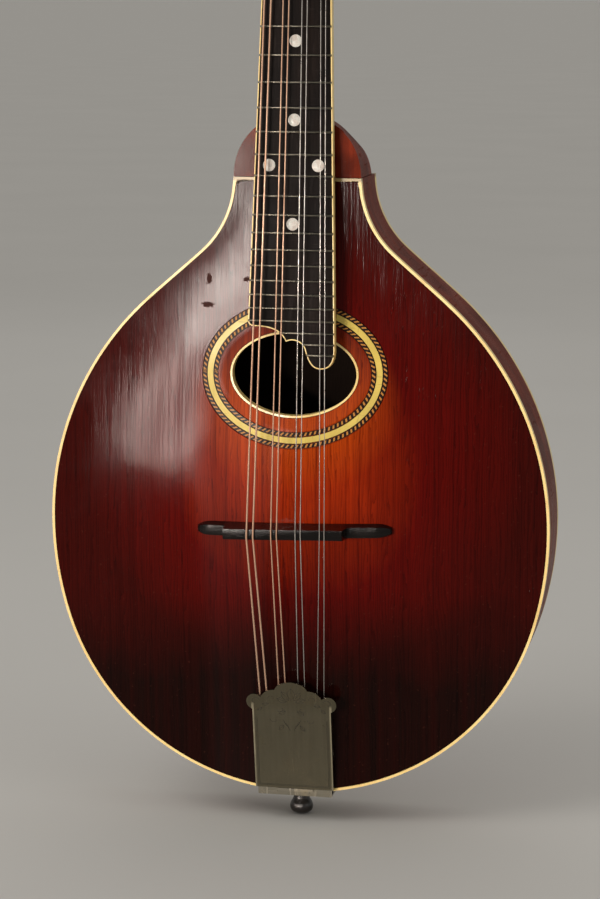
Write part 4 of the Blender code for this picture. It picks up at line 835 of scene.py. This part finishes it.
def oval_sizes(name):
    """The half axes of a band's inner and outer ovals."""
    places = [v.co for v in bpy.data.objects[name].data.vertices]
    wide = [abs(p.x) for p in places if abs(p.z - HOLE_Z) < 0.003]
    tall = [abs(p.z - HOLE_Z) for p in places if abs(p.x) < 0.003]
    return (min(wide), min(tall)), (max(wide), max(tall))


def from_middle(face):
    """The way from the body's middle to a face, level with the top."""
    place = face.calc_center_median()
    return Vector((place.x, 0.0, place.z - HOLE_Z + BODY_DROP))


def outer_wall(face):
    """Is this an upright face of the outline that faces away from the middle?"""
    outwards = from_middle(face)
    return abs(face.normal.y) < 0.3 and outwards.length > 0.06 and face.normal.dot(outwards) > 0


def inner_wall(face):
    return abs(face.normal.y) < 0.3 and face.normal.dot(from_middle(face)) < 0


def faces_hole(face):
    """Is this face upright, and does it face the middle of the sound hole?"""
    place = face.calc_center_median()
    outwards = Vector((place.x / HOLE_HALF[0] ** 2, 0.0, (place.z - HOLE_Z) / HOLE_HALF[1] ** 2))
    return abs(face.normal.y) < 0.5, face.normal.dot(outwards) <= 0


def hole_wall(face):
    place = face.calc_center_median()
    near = math.hypot(place.x / HOLE_HALF[0], (place.z - HOLE_Z) / HOLE_HALF[1]) < 1.15
    return near and all(faces_hole(face))


def lip_back(face):
    upright, facing = faces_hole(face)
    return upright and not facing


def make_body():
    """The carved top and back, the rim and their bindings."""
    top = dressed("top_plate", "carved_top", "spruce_top", "sunburst_top", sharp=0.7,
                  walls=((outer_wall, BINDING_TRIM), (hole_wall, LIP_TRIM)))
    line_inside(top, lambda place, normal: normal.y > 0.2)
    back = dressed("back_plate", "carved_back", "maple_back", "varnished_back", sharp=0.7)
    line_inside(back, lambda place, normal: normal.y < -0.2)
    rim = dressed("rim", "bent_rim", "maple_back", "varnished_rim")
    line_inside(rim, lambda place, normal: normal.dot(place - Vector((0.0, place.y, 0.16))) < 0)
    dressed("top_binding", "ivory_top_edge", "ivory", "aged_ivory", walls=((inner_wall, -BINDING_TRIM),))
    dressed("back_binding", "ivory_back_edge", "ivory", "aged_ivory", walls=((inner_wall, 0.0),))
    # These solids stay, out of sight inside the body
    for source in ("top_lining_bass", "top_lining_treble", "back_lining_bass", "back_lining_treble",
                   "neck_block", "tail_block", "cross_brace"):
        for slot in bpy.data.objects[source].material_slots:
            slot.material = bpy.data.materials["inside_wood"]


def make_rosette():
    """The rosette's bands round the sound hole, and the hole's ivory lip."""
    for source, name, slot, material, walls in (
            ("soundhole_binding", "hole_lip", "ivory", "aged_ivory", ((lip_back, -LIP_TRIM),)),
            ("rosette_purfling_inner", "rope_inner", "rope_inlay", "rope_purfling", ()),
            ("rosette_ring", "rosette_band", "ivory", "rosette_ivory", ()),
            ("rosette_purfling_outer", "rope_outer", "rope_inlay", "rope_purfling", ())):
        band = dressed(source, name, slot, material, sharp=0.7, walls=walls)
        band_uv(band, oval_band(*oval_sizes(source)))


def make_neck():
    """Neck, headstock face and nut."""
    dressed("neck", "shaped_neck", "neck_wood", "varnished_neck")
    dressed("headstock_veneer", "headstock_face", "ebony", "black_veneer")
    dressed("nut", "string_nut", "bone", "bone_nut", levels=1)


def curve_points(a, b, c, d, steps):
    """Points of a cubic curve after its first one."""
    made = []
    for t in (i / steps for i in range(1, steps + 1)):
        weights = ((1 - t) ** 3, 3 * t * (1 - t) ** 2, 3 * t * t * (1 - t), t ** 3)
        made.append(tuple(sum(w * p[k] for w, p in zip(weights, (a, b, c, d))) for k in (0, 1)))
    return made


def board_half(distance):
    return NUT_HALF + BOARD_TAPER * distance


def board_outline(start):
    """The fretboard's sides and its stepped end, as (across, distance from the nut) pairs."""
    end, tip, middle = BOARD_END, BOARD_END + EXTENSION_LENGTH, EXTENSION_MIDDLE
    bass, treble = board_half(end), board_half(tip)
    cusp = (CUSP_OFFSET, end + CUSP_DROP)
    hip = (middle - 0.0083, end + CUSP_DROP + 0.0031)
    points = [(-board_half(start), start), (-board_half(end / 2), end / 2), (-bass, end - 0.003)]
    for second, third, last, steps in (
            ((-bass, end - 0.001), (-bass + 0.001, end), (-bass + 0.003, end), 8),
            ((-0.008, end), (-0.0045, end + 0.003), cusp, 16),
            ((0.001, end + 0.0055), (hip[0] - 0.0015, end + 0.007), hip, 12),
            ((hip[0] + 0.0015, hip[1] + 0.0045), (middle - 0.0055, tip), (middle, tip), 14),
            ((middle + 0.005, tip), (treble, tip - 0.004), (treble, tip - 0.009), 14)):
        points += curve_points(points[-1], second, third, last, steps)
    return points + [(board_half(end / 2), end / 2), (board_half(start), start)]


def thickened(piece, depth, round_width):
    """Extrude a flat piece down from its face and soften its edges."""
    with editing(piece):
        bpy.ops.mesh.extrude_region_move(TRANSFORM_OT_translate={"value": (0.0, 0.0, -depth)})
        bpy.ops.mesh.select_all(action="SELECT")
        bpy.ops.mesh.normals_make_consistent(inside=False)
    bevelled(piece, round_width, 2, 1.0)
    shaded(piece)


def make_fretboard():
    """The bound fretboard: its outline is inset, and the rim and the middle become two pieces."""
    corners = [(x, -distance, 0.0) for x, distance in board_outline(-0.004)]
    edge = drawn("board_edge", corners, faces=[list(range(len(corners)))])
    with editing(edge):
        bpy.ops.mesh.inset(thickness=BOARD_EDGE, use_even_offset=True)
        bpy.ops.mesh.separate(type="SELECTED")
    board = next(o for o in bpy.context.selected_objects if o is not edge)
    board.name = "ebony_fretboard"
    for piece, slot, material, solid in ((edge, "ivory", "aged_ivory", "fretboard_binding"),
                                         (board, "ebony", "ebony_board", "fretboard")):
        with editing(piece):
            bpy.ops.mesh.bisect(plane_co=(0, -0.0001, 0), plane_no=(0, 1, 0), clear_outer=True)
        thickened(piece, BOARD_THICKNESS, 0.00015)
        finished(placed(piece, BOARD), "instrument", slot, material, [solid])


def fret_distance(number):
    return SCALE_LENGTH * (1 - 2 ** (-number / 12))


def make_dots():
    """Pearl position dots, one turned disc copied to each place."""
    disc = primitive("cylinder", vertices=48, radius=DOT_RADIUS, depth=0.0010, location=(0, 0, -0.00046))
    bevelled(disc, 0.0001, 2, 1.0)
    shaded(disc)
    for end, across, fret in (("5", 0, 5), ("7", 0, 7), ("10", 0, 10), ("15", 0, 15), ("12_bass", -1, 12),
                              ("12_treble", 1, 12)):
        distance = (fret_distance(fret) + fret_distance(fret - 1)) / 2
        dot = copied(disc, "pearl_dot_" + end, BOARD @ Matrix.Translation((across * DOT_OFFSET, -distance, 0)))
        finished(dot, "instrument", "pearl", "mother_of_pearl", ["dot_fret_" + end])
    bpy.data.objects.remove(disc)


def board_reach(distance):
    """How far a fret reaches to each side at a distance from the nut."""
    outline = board_outline(0.0)
    sides = []
    for (x, d), (next_x, next_d) in zip(outline, outline[1:]):
        if min(d, next_d) <= distance < max(d, next_d):
            sides.append(x + (next_x - x) * (distance - d) / (next_d - d))
    return min(sides) + BOARD_EDGE - FRET_OVERHANG, max(sides) - BOARD_EDGE + FRET_OVERHANG


def make_frets(sizes):
    """Frets: one half-round crown, copied to each place along the board."""
    crown = primitive("cylinder", vertices=16, radius=0.5, depth=1.0, rotation=(0, math.pi / 2, 0))
    with editing(crown):
        bpy.ops.mesh.bisect(plane_co=(0, 0, -0.02), plane_no=(0, 0, 1), clear_inner=True, use_fill=True)
    for number in range(1, FRET_COUNT + 1):
        at = fret_distance(number)
        low, high = board_reach(at)
        size = Matrix.Diagonal((high - low, sizes.fret_width, 2 * sizes.fret_height, 1.0))
        place = Matrix.Translation(((low + high) / 2, -at, 0.00002))
        fret = copied(crown, "fret_%d" % number, BOARD @ place @ size)
        bevelled(fret, 0.00022, 2, 1.0)
        finished(shaded(fret, 1.0), "instrument", "nickel", "fret_nickel")
    bpy.data.objects.remove(crown)


def make_bridge():
    """The carved ebony bridge."""
    dressed("bridge", "carved_bridge", "ebony", "ebony_bridge", sharp=0.8)


def string_path(name):
    """The middle line of a string's solid, from its tail end to its post."""
    shape = tidy_copy(name, name + "_path")
    places = sorted((v.co.copy() for v in shape.data.vertices), key=lambda p: p.z)
    bpy.data.objects.remove(shape)
    if len(places) != 32:
        raise RuntimeError("%s has %d corners" % (name, len(places)))
    return [sum(places[i:i + 8], Vector()) / 8 for i in range(0, 32, 8)]


def string_looks(letter):
    """The slot and the material of the bronze wound or the plain steel strings."""
    return ("bronze", "bronze_winding") if letter in "gd" else ("steel", "plain_steel")


def make_strings():
    """Eight strings, their UV along the string and round it."""
    for name in STRING_NAMES:
        path = string_path(name)
        letter = name[7]
        line = swept(name + "_wire", path, STRING_RADIUS[letter], 12)
        run = [0.0]
        for first, second in zip(path, path[1:]):
            run.append(run[-1] + (second - first).length)
        heights = [p.z for p in path]
        band_uv(line, lambda x, y, z: (np.interp(z, heights, run), np.arctan2(y, x - path[0].x) / (2 * math.pi)))
        finished(shaded(line, 1.2), "instrument", *string_looks(letter), [name])


def slotted_head(name, radius, rise, slot):
    """A domed screw head with a slot, its seat at height nought."""
    dome = ((0.0, 1.0), (0.35, 0.97), (0.7, 0.72), (0.93, 0.35), (1.0, 0.08))
    head = turned(name, [(radius * run, rise * up) for run, up in dome] + [(radius, -0.0002), (0.0, -0.0002)], 28)
    cutter = primitive("cube", size=1.0, location=(0.0, 0.0, rise * 0.95), scale=(radius * 2.4, slot, rise))
    cut_by(head, cutter)
    bevelled(head, radius * 0.04, 1, 0.8)
    return shaded(head, 0.7)


def cover_frame():
    """The cover's own frame: its bottom edge, with Y along the slide and Z out of its face."""
    along = Vector(COVER_AXIS)
    outwards = Vector((1, 0, 0)).cross(along)
    corners = [v.co for v in bpy.data.objects["tailpiece_cover"].data.vertices]
    lift = max(c.dot(outwards) for c in corners)
    low = min(c.dot(along) for c in corners if c.dot(outwards) > lift - 0.0001)
    axes = Matrix(((1, 0, 0), along, outwards)).transposed().to_4x4()
    return Matrix.Translation(along * low + outwards * lift) @ axes


def scroll(x, y, size, turn, way, sweep=3.6):
    """A spiral of the engraver's cut, opening from its eye."""
    points = []
    for t in (i / 21 for i in range(22)):
        angle = math.radians(turn) + way * sweep * t
        reach = size * (0.12 + 0.88 * t ** 1.3)
        points.append((x + reach * math.cos(angle), y + reach * math.sin(angle)))
    return [points]


def leaf(x, y, size, turn, width=0.26):
    """A pointed leaf: two bowed cuts and a vein."""
    turn = math.radians(turn)
    run, rise = size * math.cos(turn), size * math.sin(turn)
    cuts = [[(x, y), (x + run / 2, y + rise / 2), (x + run, y + rise)]]
    for side in (-width, width):
        cuts.append([(x + i / 10 * run - side * bow * rise, y + i / 10 * rise + side * bow * run)
                     for i, bow in enumerate(LEAF_BOW)])
    return cuts


def engraved_cuts():
    """Generic leaves and scrolls on the cover's crown, the same on both sides, and a plain border."""
    half = []
    for shape, *numbers in (
            (leaf, 0.0012, 0.0500, 0.0062, 52), (leaf, 0.0022, 0.0492, 0.0056, 18, 0.24),
            (scroll, 0.0098, 0.0506, 0.0027, 200, -1), (leaf, 0.0117, 0.0478, 0.0036, -8),
            (scroll, 0.0190, 0.0486, 0.0028, 250, 1, 4.6), (leaf, 0.0152, 0.0455, 0.0030, -35),
            (scroll, 0.0052, 0.0452, 0.0023, 120, 1), (leaf, 0.0030, 0.0440, 0.0040, -28),
            (scroll, 0.0088, 0.0392, 0.0026, 150, 1), (leaf, 0.0042, 0.0362, 0.0040, -50, 0.24)):
        half += shape(*numbers)
    for k in range(4):
        x = 0.0010 + 0.0008 * k
        half.append([(x, 0.0330 + 0.0012 * k), (x + 0.0012, 0.0362 + 0.0010 * k)])
    half += [[(0.0186, 0.0014), (0.0186, 0.0400)], [(0.0180, 0.0020), (0.0180, 0.0392)],
             [(0.0, 0.0014), (0.0186, 0.0014)], [(0.0, 0.0020), (0.0180, 0.0020)]]
    cuts = leaf(0.0, 0.0500, 0.0068, 90, 0.30)
    for cut in half:
        cuts += [cut, [(-x, y) for x, y in cut]]
    return cuts


def make_tailpiece():
    """The tailpiece's base and its sliding cover with engraved crown, and its screws."""
    dressed("tailpiece_base", "hook_base", "nickel", "worn_nickel")
    cover = refined("tailpiece_cover", "sliding_cover")
    bevelled(cover, 0.00022, 2, 0.9)
    finished(shaded(cover, 0.7), "cover", "nickel", "cover_nickel", ["tailpiece_cover"])
    flat = cover_frame() @ Matrix.Diagonal((1.0, 1.0, 0.25, 1.0))
    lines = [placed(swept("cut_%d" % number, [(x, y, 0.0) for x, y in cut], 0.00011, 6), flat)
             for number, cut in enumerate(engraved_cuts())]
    finished(shaded(joined_up("cover_engraving", lines), 1.0), "cover", "nickel", "cut_metal")
    head = slotted_head("screw_head", 0.0024, 0.0012, 0.0005)
    for number, (x, y) in enumerate(((-0.0120, -0.0050), (0.0120, -0.0050), (0.0, 0.0125)), 1):
        turn = Matrix.Translation((x, y, TAIL_Z - 0.0015)) @ UPSIDE_DOWN
        screw = copied(head, "tail_screw_%d" % number, turn @ spun(0.7 * number))
        shank = turned("shank", [(0.0, -0.0003), (0.0013, -0.0003), (0.0013, -0.0060), (0.0, -0.0092)], 16)
        screw = joined_up(screw.name, [screw, placed(shank, turn)])
        finished(screw, "instrument", "nickel", "worn_nickel", ["tailpiece_screw_%d" % number])
    bpy.data.objects.remove(head)


def make_end_pin():
    """The turned ebony end pin."""
    dressed("end_pin", "turned_end_pin", "ebony", "ebony_turned", sharp=0.9, smooth=0.9)


def make_post():
    """A tuner post with its string hole, standing on the headstock's face at height nought."""
    r, top = POST_RADIUS, POST_HEIGHT
    post = turned("post", [
        (0.0, GEAR_DEPTH), (r, GEAR_DEPTH), (r, 0.0030), (r * 0.92, 0.0042), (r * 0.88, 0.0066),
        (r * 0.92, 0.0092), (r, 0.0102), (r, top - 0.0016), (r * 0.94, top - 0.0006), (r * 0.62, top - 0.0001),
        (r * 0.30, top), (r * 0.24, top - 0.0004), (0.0, top - 0.0006)], 36)
    hole = turned("hole", [(0.0, -0.006), (0.00075, -0.006), (0.00075, 0.006), (0.0, 0.006)], 16)
    cut_by(post, placed(hole, Matrix.Translation((0, 0, HOLE_HEIGHT)) @ Matrix.Rotation(math.pi / 2, 4, "X")))
    return shaded(post)


def make_gear():
    """The worm wheel: a disc whose rim faces are drawn out into teeth, with a slotted screw in its middle."""
    faces = 4 * GEAR_TEETH
    gear = primitive("cylinder", vertices=faces, radius=0.0046, depth=0.0028, location=(0, 0, GEAR_DEPTH))

    def tooth(face):
        place = face.calc_center_median()
        step = math.atan2(place.y, place.x) / (2 * math.pi) * faces
        return abs(face.normal.z) < 0.5 and int(step + 400) % 4 < 2

    with editing(gear):
        choose(gear, tooth)
        bpy.ops.mesh.extrude_region_shrink_fatten(
            TRANSFORM_OT_shrink_fatten={"value": 0.0009, "use_even_offset": True})
        choose(gear, lambda face: face.normal.z < -0.5)
        bpy.ops.mesh.inset(thickness=0.0008, depth=-0.0003)
    bevelled(gear, 0.00012, 1, 0.8)
    shaded(gear)
    head = slotted_head("gear_screw", 0.0019, 0.0007, 0.0004)
    return joined_up("gear", [gear, placed(head, Matrix.Translation((0, 0, GEAR_DEPTH - 0.0012)) @ UPSIDE_DOWN)])


def make_worm():
    """A worm on its shaft, along X, the thread wound round its core."""
    core = turned("core", [(0.0, -0.0064), (0.0014, -0.0064), (0.0014, -0.0040), (0.0017, -0.0038),
                           (0.0017, 0.0038), (0.0014, 0.0040), (0.0014, 0.0248), (0.0, 0.0250)], 24)
    turns = [(i / 96, 8 * math.pi * i / 96) for i in range(97)]
    thread = [(-0.0036 + 0.0072 * t, 0.0017 * math.cos(angle), 0.0017 * math.sin(angle)) for t, angle in turns]
    return shaded(joined_up("worm", [placed(core, ALONG_X), swept("thread", thread, 0.00042, 8)]), 0.8)


def make_button():
    """An oval button with a collar, along X from its own root."""
    wide, long = 0.0072, 0.0140
    shape = ((0.0, 0.0), (0.0, 0.28), (0.02, 0.36), (0.07, 0.38), (0.11, 0.33), (0.16, 0.44), (0.28, 0.78),
             (0.45, 0.97), (0.62, 1.0), (0.78, 0.93), (0.91, 0.70), (0.98, 0.36), (1.0, 0.0))
    button = placed(turned("button", [(wide * share, long * run) for run, share in shape], 32), ALONG_X)
    with editing(button):
        choose(button, lambda corner: corner.co.x > 0.12 * long, "VERT")
        bpy.ops.transform.resize(value=(1.0, 1.0, 0.53))
    rounded(button, 1)
    return shaded(button, 1.2)


def make_coil(string, turns):
    """A string's turns on its post, ending in the post's hole."""
    radius = STRING_RADIUS[string[0]]
    reach, rise = POST_RADIUS * 0.93 + radius, 2.05 * radius
    start = WRAP_LOW + 0.0046 - rise * turns
    path = [(reach * math.cos(math.pi * i / 12), reach * math.sin(math.pi * i / 12), start + rise * i / 24)
            for i in range(24 * turns + 1)]
    x, y, z = path[-1]
    path += [(x * 0.8, y + 0.0006, z + 0.0010), (0.0008, 0.0012, HOLE_HEIGHT), (0.0, -0.0034, HOLE_HEIGHT),
             (-0.0003, -0.0048, HOLE_HEIGHT + 0.0006)]
    coil = swept("coil_" + string, path, radius, 8)
    band_uv(coil, lambda x, y, z: (z / rise * 2 * math.pi * reach + np.arctan2(y, x) * reach, z * 0.0))
    return shaded(coil, 1.2)


def make_tuners(sizes):
    """Plates, posts, wheels, worms, buttons, bushings and screws of both rows of tuners."""
    post, gear, worm, button = make_post(), make_gear(), make_worm(), make_button()
    bushing = shaded(turned("bushing", [
        (0.00315, 0.0), (0.0050, 0.0), (0.0050, 0.0003), (0.0046, 0.0008), (0.0036, 0.0009), (0.00315, 0.0007),
        (0.00315, 0.0)], 36), 0.7)
    screw = slotted_head("plate_screw", 0.0017, 0.0007, 0.0004)
    for side, sign, strings in (("bass", -1, ("g1", "g2", "d1", "d2")), ("treble", 1, ("e2", "e1", "a2", "a1"))):
        dressed("tuner_plate_" + side, "gear_plate_" + side, "nickel", "worn_nickel")
        facing = spun(0.0 if sign > 0 else math.pi)
        for number, (u, string) in enumerate(zip(TUNER_ROWS, strings), 1):
            at = HEAD @ Matrix.Translation((sign * POST_OFFSET, u, 0))
            tag = "%s_%d" % (side, number)
            pole = joined_up("post_and_wheel_" + tag, [copied(post, "pole", at), copied(gear, "wheel", at)])
            finished(pole, "post_" + tag, "brass", "worn_brass", ["tuner_post_" + tag])
            finished(copied(bushing, "bushing_" + tag, at), "instrument", "nickel", "worn_nickel")
            shaft = HEAD @ Matrix.Translation((sign * POST_OFFSET, u - WORM_DROP, GEAR_DEPTH)) @ facing
            finished(copied(worm, "worm_" + tag, shaft), "button_" + tag, "brass", "worn_brass")
            reach = BUTTON_REACH + BUTTON_SPLAY * (u - WORM_DROP - 0.026) - POST_OFFSET
            grip = copied(button, "oval_button_" + tag, shaft @ Matrix.Translation((reach, 0, 0)))
            finished(grip, "button_" + tag, "button", "ivory_button", ["tuner_button_" + tag])
            coil = placed(make_coil(string, sizes.coil_turns), at @ spun(0.4 * number))
            finished(coil, "post_" + tag, *string_looks(string[0]))
        places = [TUNER_ROWS[0] - 0.0110] + [row + 0.0095 for row in TUNER_ROWS[:3]] + [TUNER_ROWS[3] + 0.0066]
        heads = []
        for number, u in enumerate(places, 1):
            seat = HEAD @ Matrix.Translation((sign * (POST_OFFSET + 0.0052), u, -HEAD_THICKNESS - 0.0015))
            heads.append(copied(screw, "head", seat @ UPSIDE_DOWN @ spun(0.9 * number)))
        finished(joined_up("plate_screws_" + side, heads), "instrument", "steel", "plain_steel")
    for part in (post, gear, worm, button, bushing, screw):
        bpy.data.objects.remove(part)


# The photographer's camera: its turns in radians, where the aim stands in its view, and its lens
CAMERA_YAW = math.radians(11.2)
CAMERA_PITCH = math.radians(9.31)
CAMERA_ROLL = math.radians(0.13)
CAMERA_REACH = Vector((-0.0022, 0.1893, 1.3364))
CAMERA_AIM = Vector((0.0, FRONT_Y, TAIL_Z))
CAMERA_FOCAL = 2595.0
CAMERA_SHIFT = -0.0279
IMAGE_HEIGHT = 899
SENSOR_HEIGHT = 36.0


def make_camera():
    """The camera stands where the photographer's stood: a long lens, a little to the right and above."""
    axes = Matrix(((1, 0, 0), (0, 0, -1), (0, 1, 0)))
    seen = (Matrix.Rotation(CAMERA_ROLL, 3, "Z") @ Matrix.Rotation(CAMERA_PITCH, 3, "X")
            @ Matrix.Rotation(CAMERA_YAW, 3, "Y") @ axes)
    place = CAMERA_AIM - seen.transposed() @ CAMERA_REACH
    facing = (Matrix.Diagonal((1, -1, -1)) @ seen).transposed()
    data = bpy.data.cameras.new("camera")
    data.sensor_fit = "VERTICAL"
    data.sensor_height = SENSOR_HEIGHT
    data.lens = CAMERA_FOCAL / IMAGE_HEIGHT * SENSOR_HEIGHT
    data.shift_y = CAMERA_SHIFT
    data.clip_start = 0.05
    data.clip_end = 1000.0
    camera = linked("camera", data)
    camera.matrix_world = Matrix.Translation(place) @ facing.to_4x4()
    bpy.context.scene.camera = camera


def make_light(name, place, aim, power, size, spread, tint, roll=0.0):
    """A flat lamp that faces a height on the middle line."""
    data = bpy.data.lights.new(name, "AREA")
    data.shape = "RECTANGLE"
    data.size, data.size_y = size
    data.energy = power
    data.color = tint
    data.spread = math.radians(spread)
    lamp = linked(name, data)
    lamp.location = place
    facing = (Vector((0.0, 0.0, aim)) - Vector(place)).to_track_quat("-Z", "Y")
    lamp.rotation_euler = (facing @ Quaternion((0.0, 0.0, 1.0), math.radians(roll))).to_euler()
    lamp.visible_camera = False
    return lamp


def make_lights(stage, floor):
    """A soft key, fill and back light, and two strips that stand where the varnish mirrors a window."""
    make_light("key", (-0.75, -1.0, 1.45), 0.25, stage.key_power, (0.9, 0.9), 80, (1.0, 0.98, 0.95))
    make_light("fill", (1.5, -0.7, 0.9), 0.25, stage.fill_power, (1.0, 1.2), 120, (1.0, 0.99, 0.97))
    make_light("back_fill", (-0.7, 1.7, 1.4), 0.3, stage.back_power, (1.4, 1.4), 170, (0.97, 0.98, 1.0))
    # The strips stand low, so they leave the floor out, or they would draw bright pools on it
    spared = bpy.data.collections.new("unlit_by_window")
    spared.objects.link(floor)
    spared.collection_objects[0].light_linking.link_state = "EXCLUDE"
    for name, place, aim, share, size, tint, roll in (
            ("window", (-0.95, -1.60, 0.22), 0.20, 1.0, (0.52, 0.10), (1.0, 0.80, 0.72), 55),
            ("window_top", (-0.56, -1.60, 0.31), 0.28, 1.4, (0.40, 0.09), (1.0, 0.92, 0.84), -31)):
        lamp = make_light(name, place, aim, share * stage.window_power, size, 70, tint, roll)
        lamp.light_linking.receiver_collection = spared


def make_world(stage):
    """Even light all round, seen as the same pale tone that the far floor has."""
    world = bpy.data.worlds.new("studio")
    bpy.context.scene.world = world
    world.use_nodes = True
    tree = world.node_tree
    light = tree.nodes["Background"]
    feed(light, Color=(1.0, 0.985, 0.96, 1.0), Strength=stage.sky)
    seen = add(tree, "ShaderNodeBackground", {"Color": stage.floor, "Strength": stage.sky})
    rays = {end.name: Wire(end) for end in add(tree, "ShaderNodeLightPath").socket.node.outputs}
    straight = rays["Is Camera Ray"] + rays["Is Glossy Ray"] + rays["Is Transmission Ray"]
    both = add(tree, "ShaderNodeMixShader",
               {0: straight.maths("MINIMUM", 1.0), 1: Wire(light.outputs[0]), 2: seen})
    fill(tree.nodes["World Output"], {"Surface": both})


def make_floor(stage):
    """A pale floor, wide enough to fill the view from every side."""
    floor = primitive("circle", vertices=64, radius=600.0, fill_type="NGON",
                      location=(0.0, 0.0, CAD_LOW[2] - 0.0005))
    floor.name = "pale_floor"
    shader, place = start_material("pale_paper")
    shade = place.noise(3.0, 3.0).remap(0.3, 0.7).mix(stage.floor, toned(stage.floor, 0.97))
    feed(shader, Base_Color=shade, Roughness=0.85, Specular_IOR_Level=0.2)
    floor.data.materials.append(bpy.data.materials["pale_paper"])
    return floor


def make_stage(stage):
    make_lights(stage, make_floor(stage))
    make_world(stage)
    make_camera()
    bpy.context.scene.view_settings.view_transform = "Standard"


def settings():
    scene = bpy.context.scene
    return scene.mandolin_colours, scene.mandolin_sizes, scene.mandolin_stage


class MANDOLIN_OT_finishes(Operator):
    """Make the woods, ivories, metals and string finishes"""

    bl_idname = "mandolin.finishes"
    bl_label = "Finishes"

    def execute(self, context):
        make_groups()
        make_finishes(*settings()[:2])
        return {"FINISHED"}


class MANDOLIN_OT_body(Operator):
    """Build the carved top and back, the rim and their bindings"""

    bl_idname = "mandolin.body"
    bl_label = "Body"

    def execute(self, context):
        make_body()
        return {"FINISHED"}


class MANDOLIN_OT_rosette(Operator):
    """Build the rosette and the lip of the sound hole"""

    bl_idname = "mandolin.rosette"
    bl_label = "Rosette"

    def execute(self, context):
        make_rosette()
        return {"FINISHED"}


class MANDOLIN_OT_neck(Operator):
    """Build the neck, the headstock face and the nut"""

    bl_idname = "mandolin.neck"
    bl_label = "Neck"

    def execute(self, context):
        make_neck()
        return {"FINISHED"}


class MANDOLIN_OT_fretboard(Operator):
    """Build the bound fretboard and its dots"""

    bl_idname = "mandolin.fretboard"
    bl_label = "Fretboard"

    def execute(self, context):
        make_fretboard()
        make_dots()
        return {"FINISHED"}


class MANDOLIN_OT_frets(Operator):
    """Build the frets"""

    bl_idname = "mandolin.frets"
    bl_label = "Frets"

    def execute(self, context):
        make_frets(settings()[1])
        return {"FINISHED"}


class MANDOLIN_OT_bridge(Operator):
    """Build the ebony bridge"""

    bl_idname = "mandolin.bridge"
    bl_label = "Bridge"

    def execute(self, context):
        make_bridge()
        return {"FINISHED"}


class MANDOLIN_OT_strings(Operator):
    """Build the eight strings"""

    bl_idname = "mandolin.strings"
    bl_label = "Strings"

    def execute(self, context):
        make_strings()
        return {"FINISHED"}


class MANDOLIN_OT_tailpiece(Operator):
    """Build the tailpiece, its engraved cover and its screws"""

    bl_idname = "mandolin.tailpiece"
    bl_label = "Tailpiece"

    def execute(self, context):
        make_tailpiece()
        return {"FINISHED"}


class MANDOLIN_OT_end_pin(Operator):
    """Build the turned end pin"""

    bl_idname = "mandolin.end_pin"
    bl_label = "End Pin"

    def execute(self, context):
        make_end_pin()
        return {"FINISHED"}


class MANDOLIN_OT_tuners(Operator):
    """Build the tuning machines"""

    bl_idname = "mandolin.tuners"
    bl_label = "Tuners"

    def execute(self, context):
        make_tuners(settings()[1])
        return {"FINISHED"}


class MANDOLIN_OT_stage(Operator):
    """Set the floor, the lights and the camera"""

    bl_idname = "mandolin.stage"
    bl_label = "Stage"

    def execute(self, context):
        make_stage(settings()[2])
        return {"FINISHED"}


OPERATORS = (
    MANDOLIN_OT_finishes, MANDOLIN_OT_body, MANDOLIN_OT_rosette, MANDOLIN_OT_neck, MANDOLIN_OT_fretboard,
    MANDOLIN_OT_frets, MANDOLIN_OT_bridge, MANDOLIN_OT_strings, MANDOLIN_OT_tailpiece,
    MANDOLIN_OT_end_pin, MANDOLIN_OT_tuners, MANDOLIN_OT_stage)


class MANDOLIN_PT_sidebar(Panel):
    """The mandolin's sizes, colours and pieces"""

    bl_idname = "MANDOLIN_PT_sidebar"
    bl_label = "Mandolin"
    bl_space_type = "VIEW_3D"
    bl_region_type = "UI"
    bl_category = "Mandolin"

    def draw(self, context):
        for group in settings():
            box = self.layout.box()
            for key in group.__annotations__:
                box.prop(group, key)
        column = self.layout.column(align=True)
        for operator in OPERATORS:
            column.operator(operator.bl_idname)


CLASSES = (MandolinColours, MandolinSizes, MandolinStage) + OPERATORS + (MANDOLIN_PT_sidebar,)


def register():
    for made in CLASSES:
        bpy.utils.register_class(made)
    bpy.types.Scene.mandolin_colours = PointerProperty(type=MandolinColours)
    bpy.types.Scene.mandolin_sizes = PointerProperty(type=MandolinSizes)
    bpy.types.Scene.mandolin_stage = PointerProperty(type=MandolinStage)


def unregister():
    del bpy.types.Scene.mandolin_stage
    del bpy.types.Scene.mandolin_sizes
    del bpy.types.Scene.mandolin_colours
    for made in reversed(CLASSES):
        bpy.utils.unregister_class(made)


def main():
    register()
    bpy.ops.mandolin.finishes()
    bpy.ops.mandolin.body()
    bpy.ops.mandolin.rosette()
    bpy.ops.mandolin.neck()
    bpy.ops.mandolin.fretboard()
    bpy.ops.mandolin.frets()
    bpy.ops.mandolin.bridge()
    bpy.ops.mandolin.strings()
    bpy.ops.mandolin.tailpiece()
    bpy.ops.mandolin.end_pin()
    bpy.ops.mandolin.tuners()
    bpy.ops.mandolin.stage()
    bpy.context.view_layer.update()


if __name__ == "__main__":
    main()
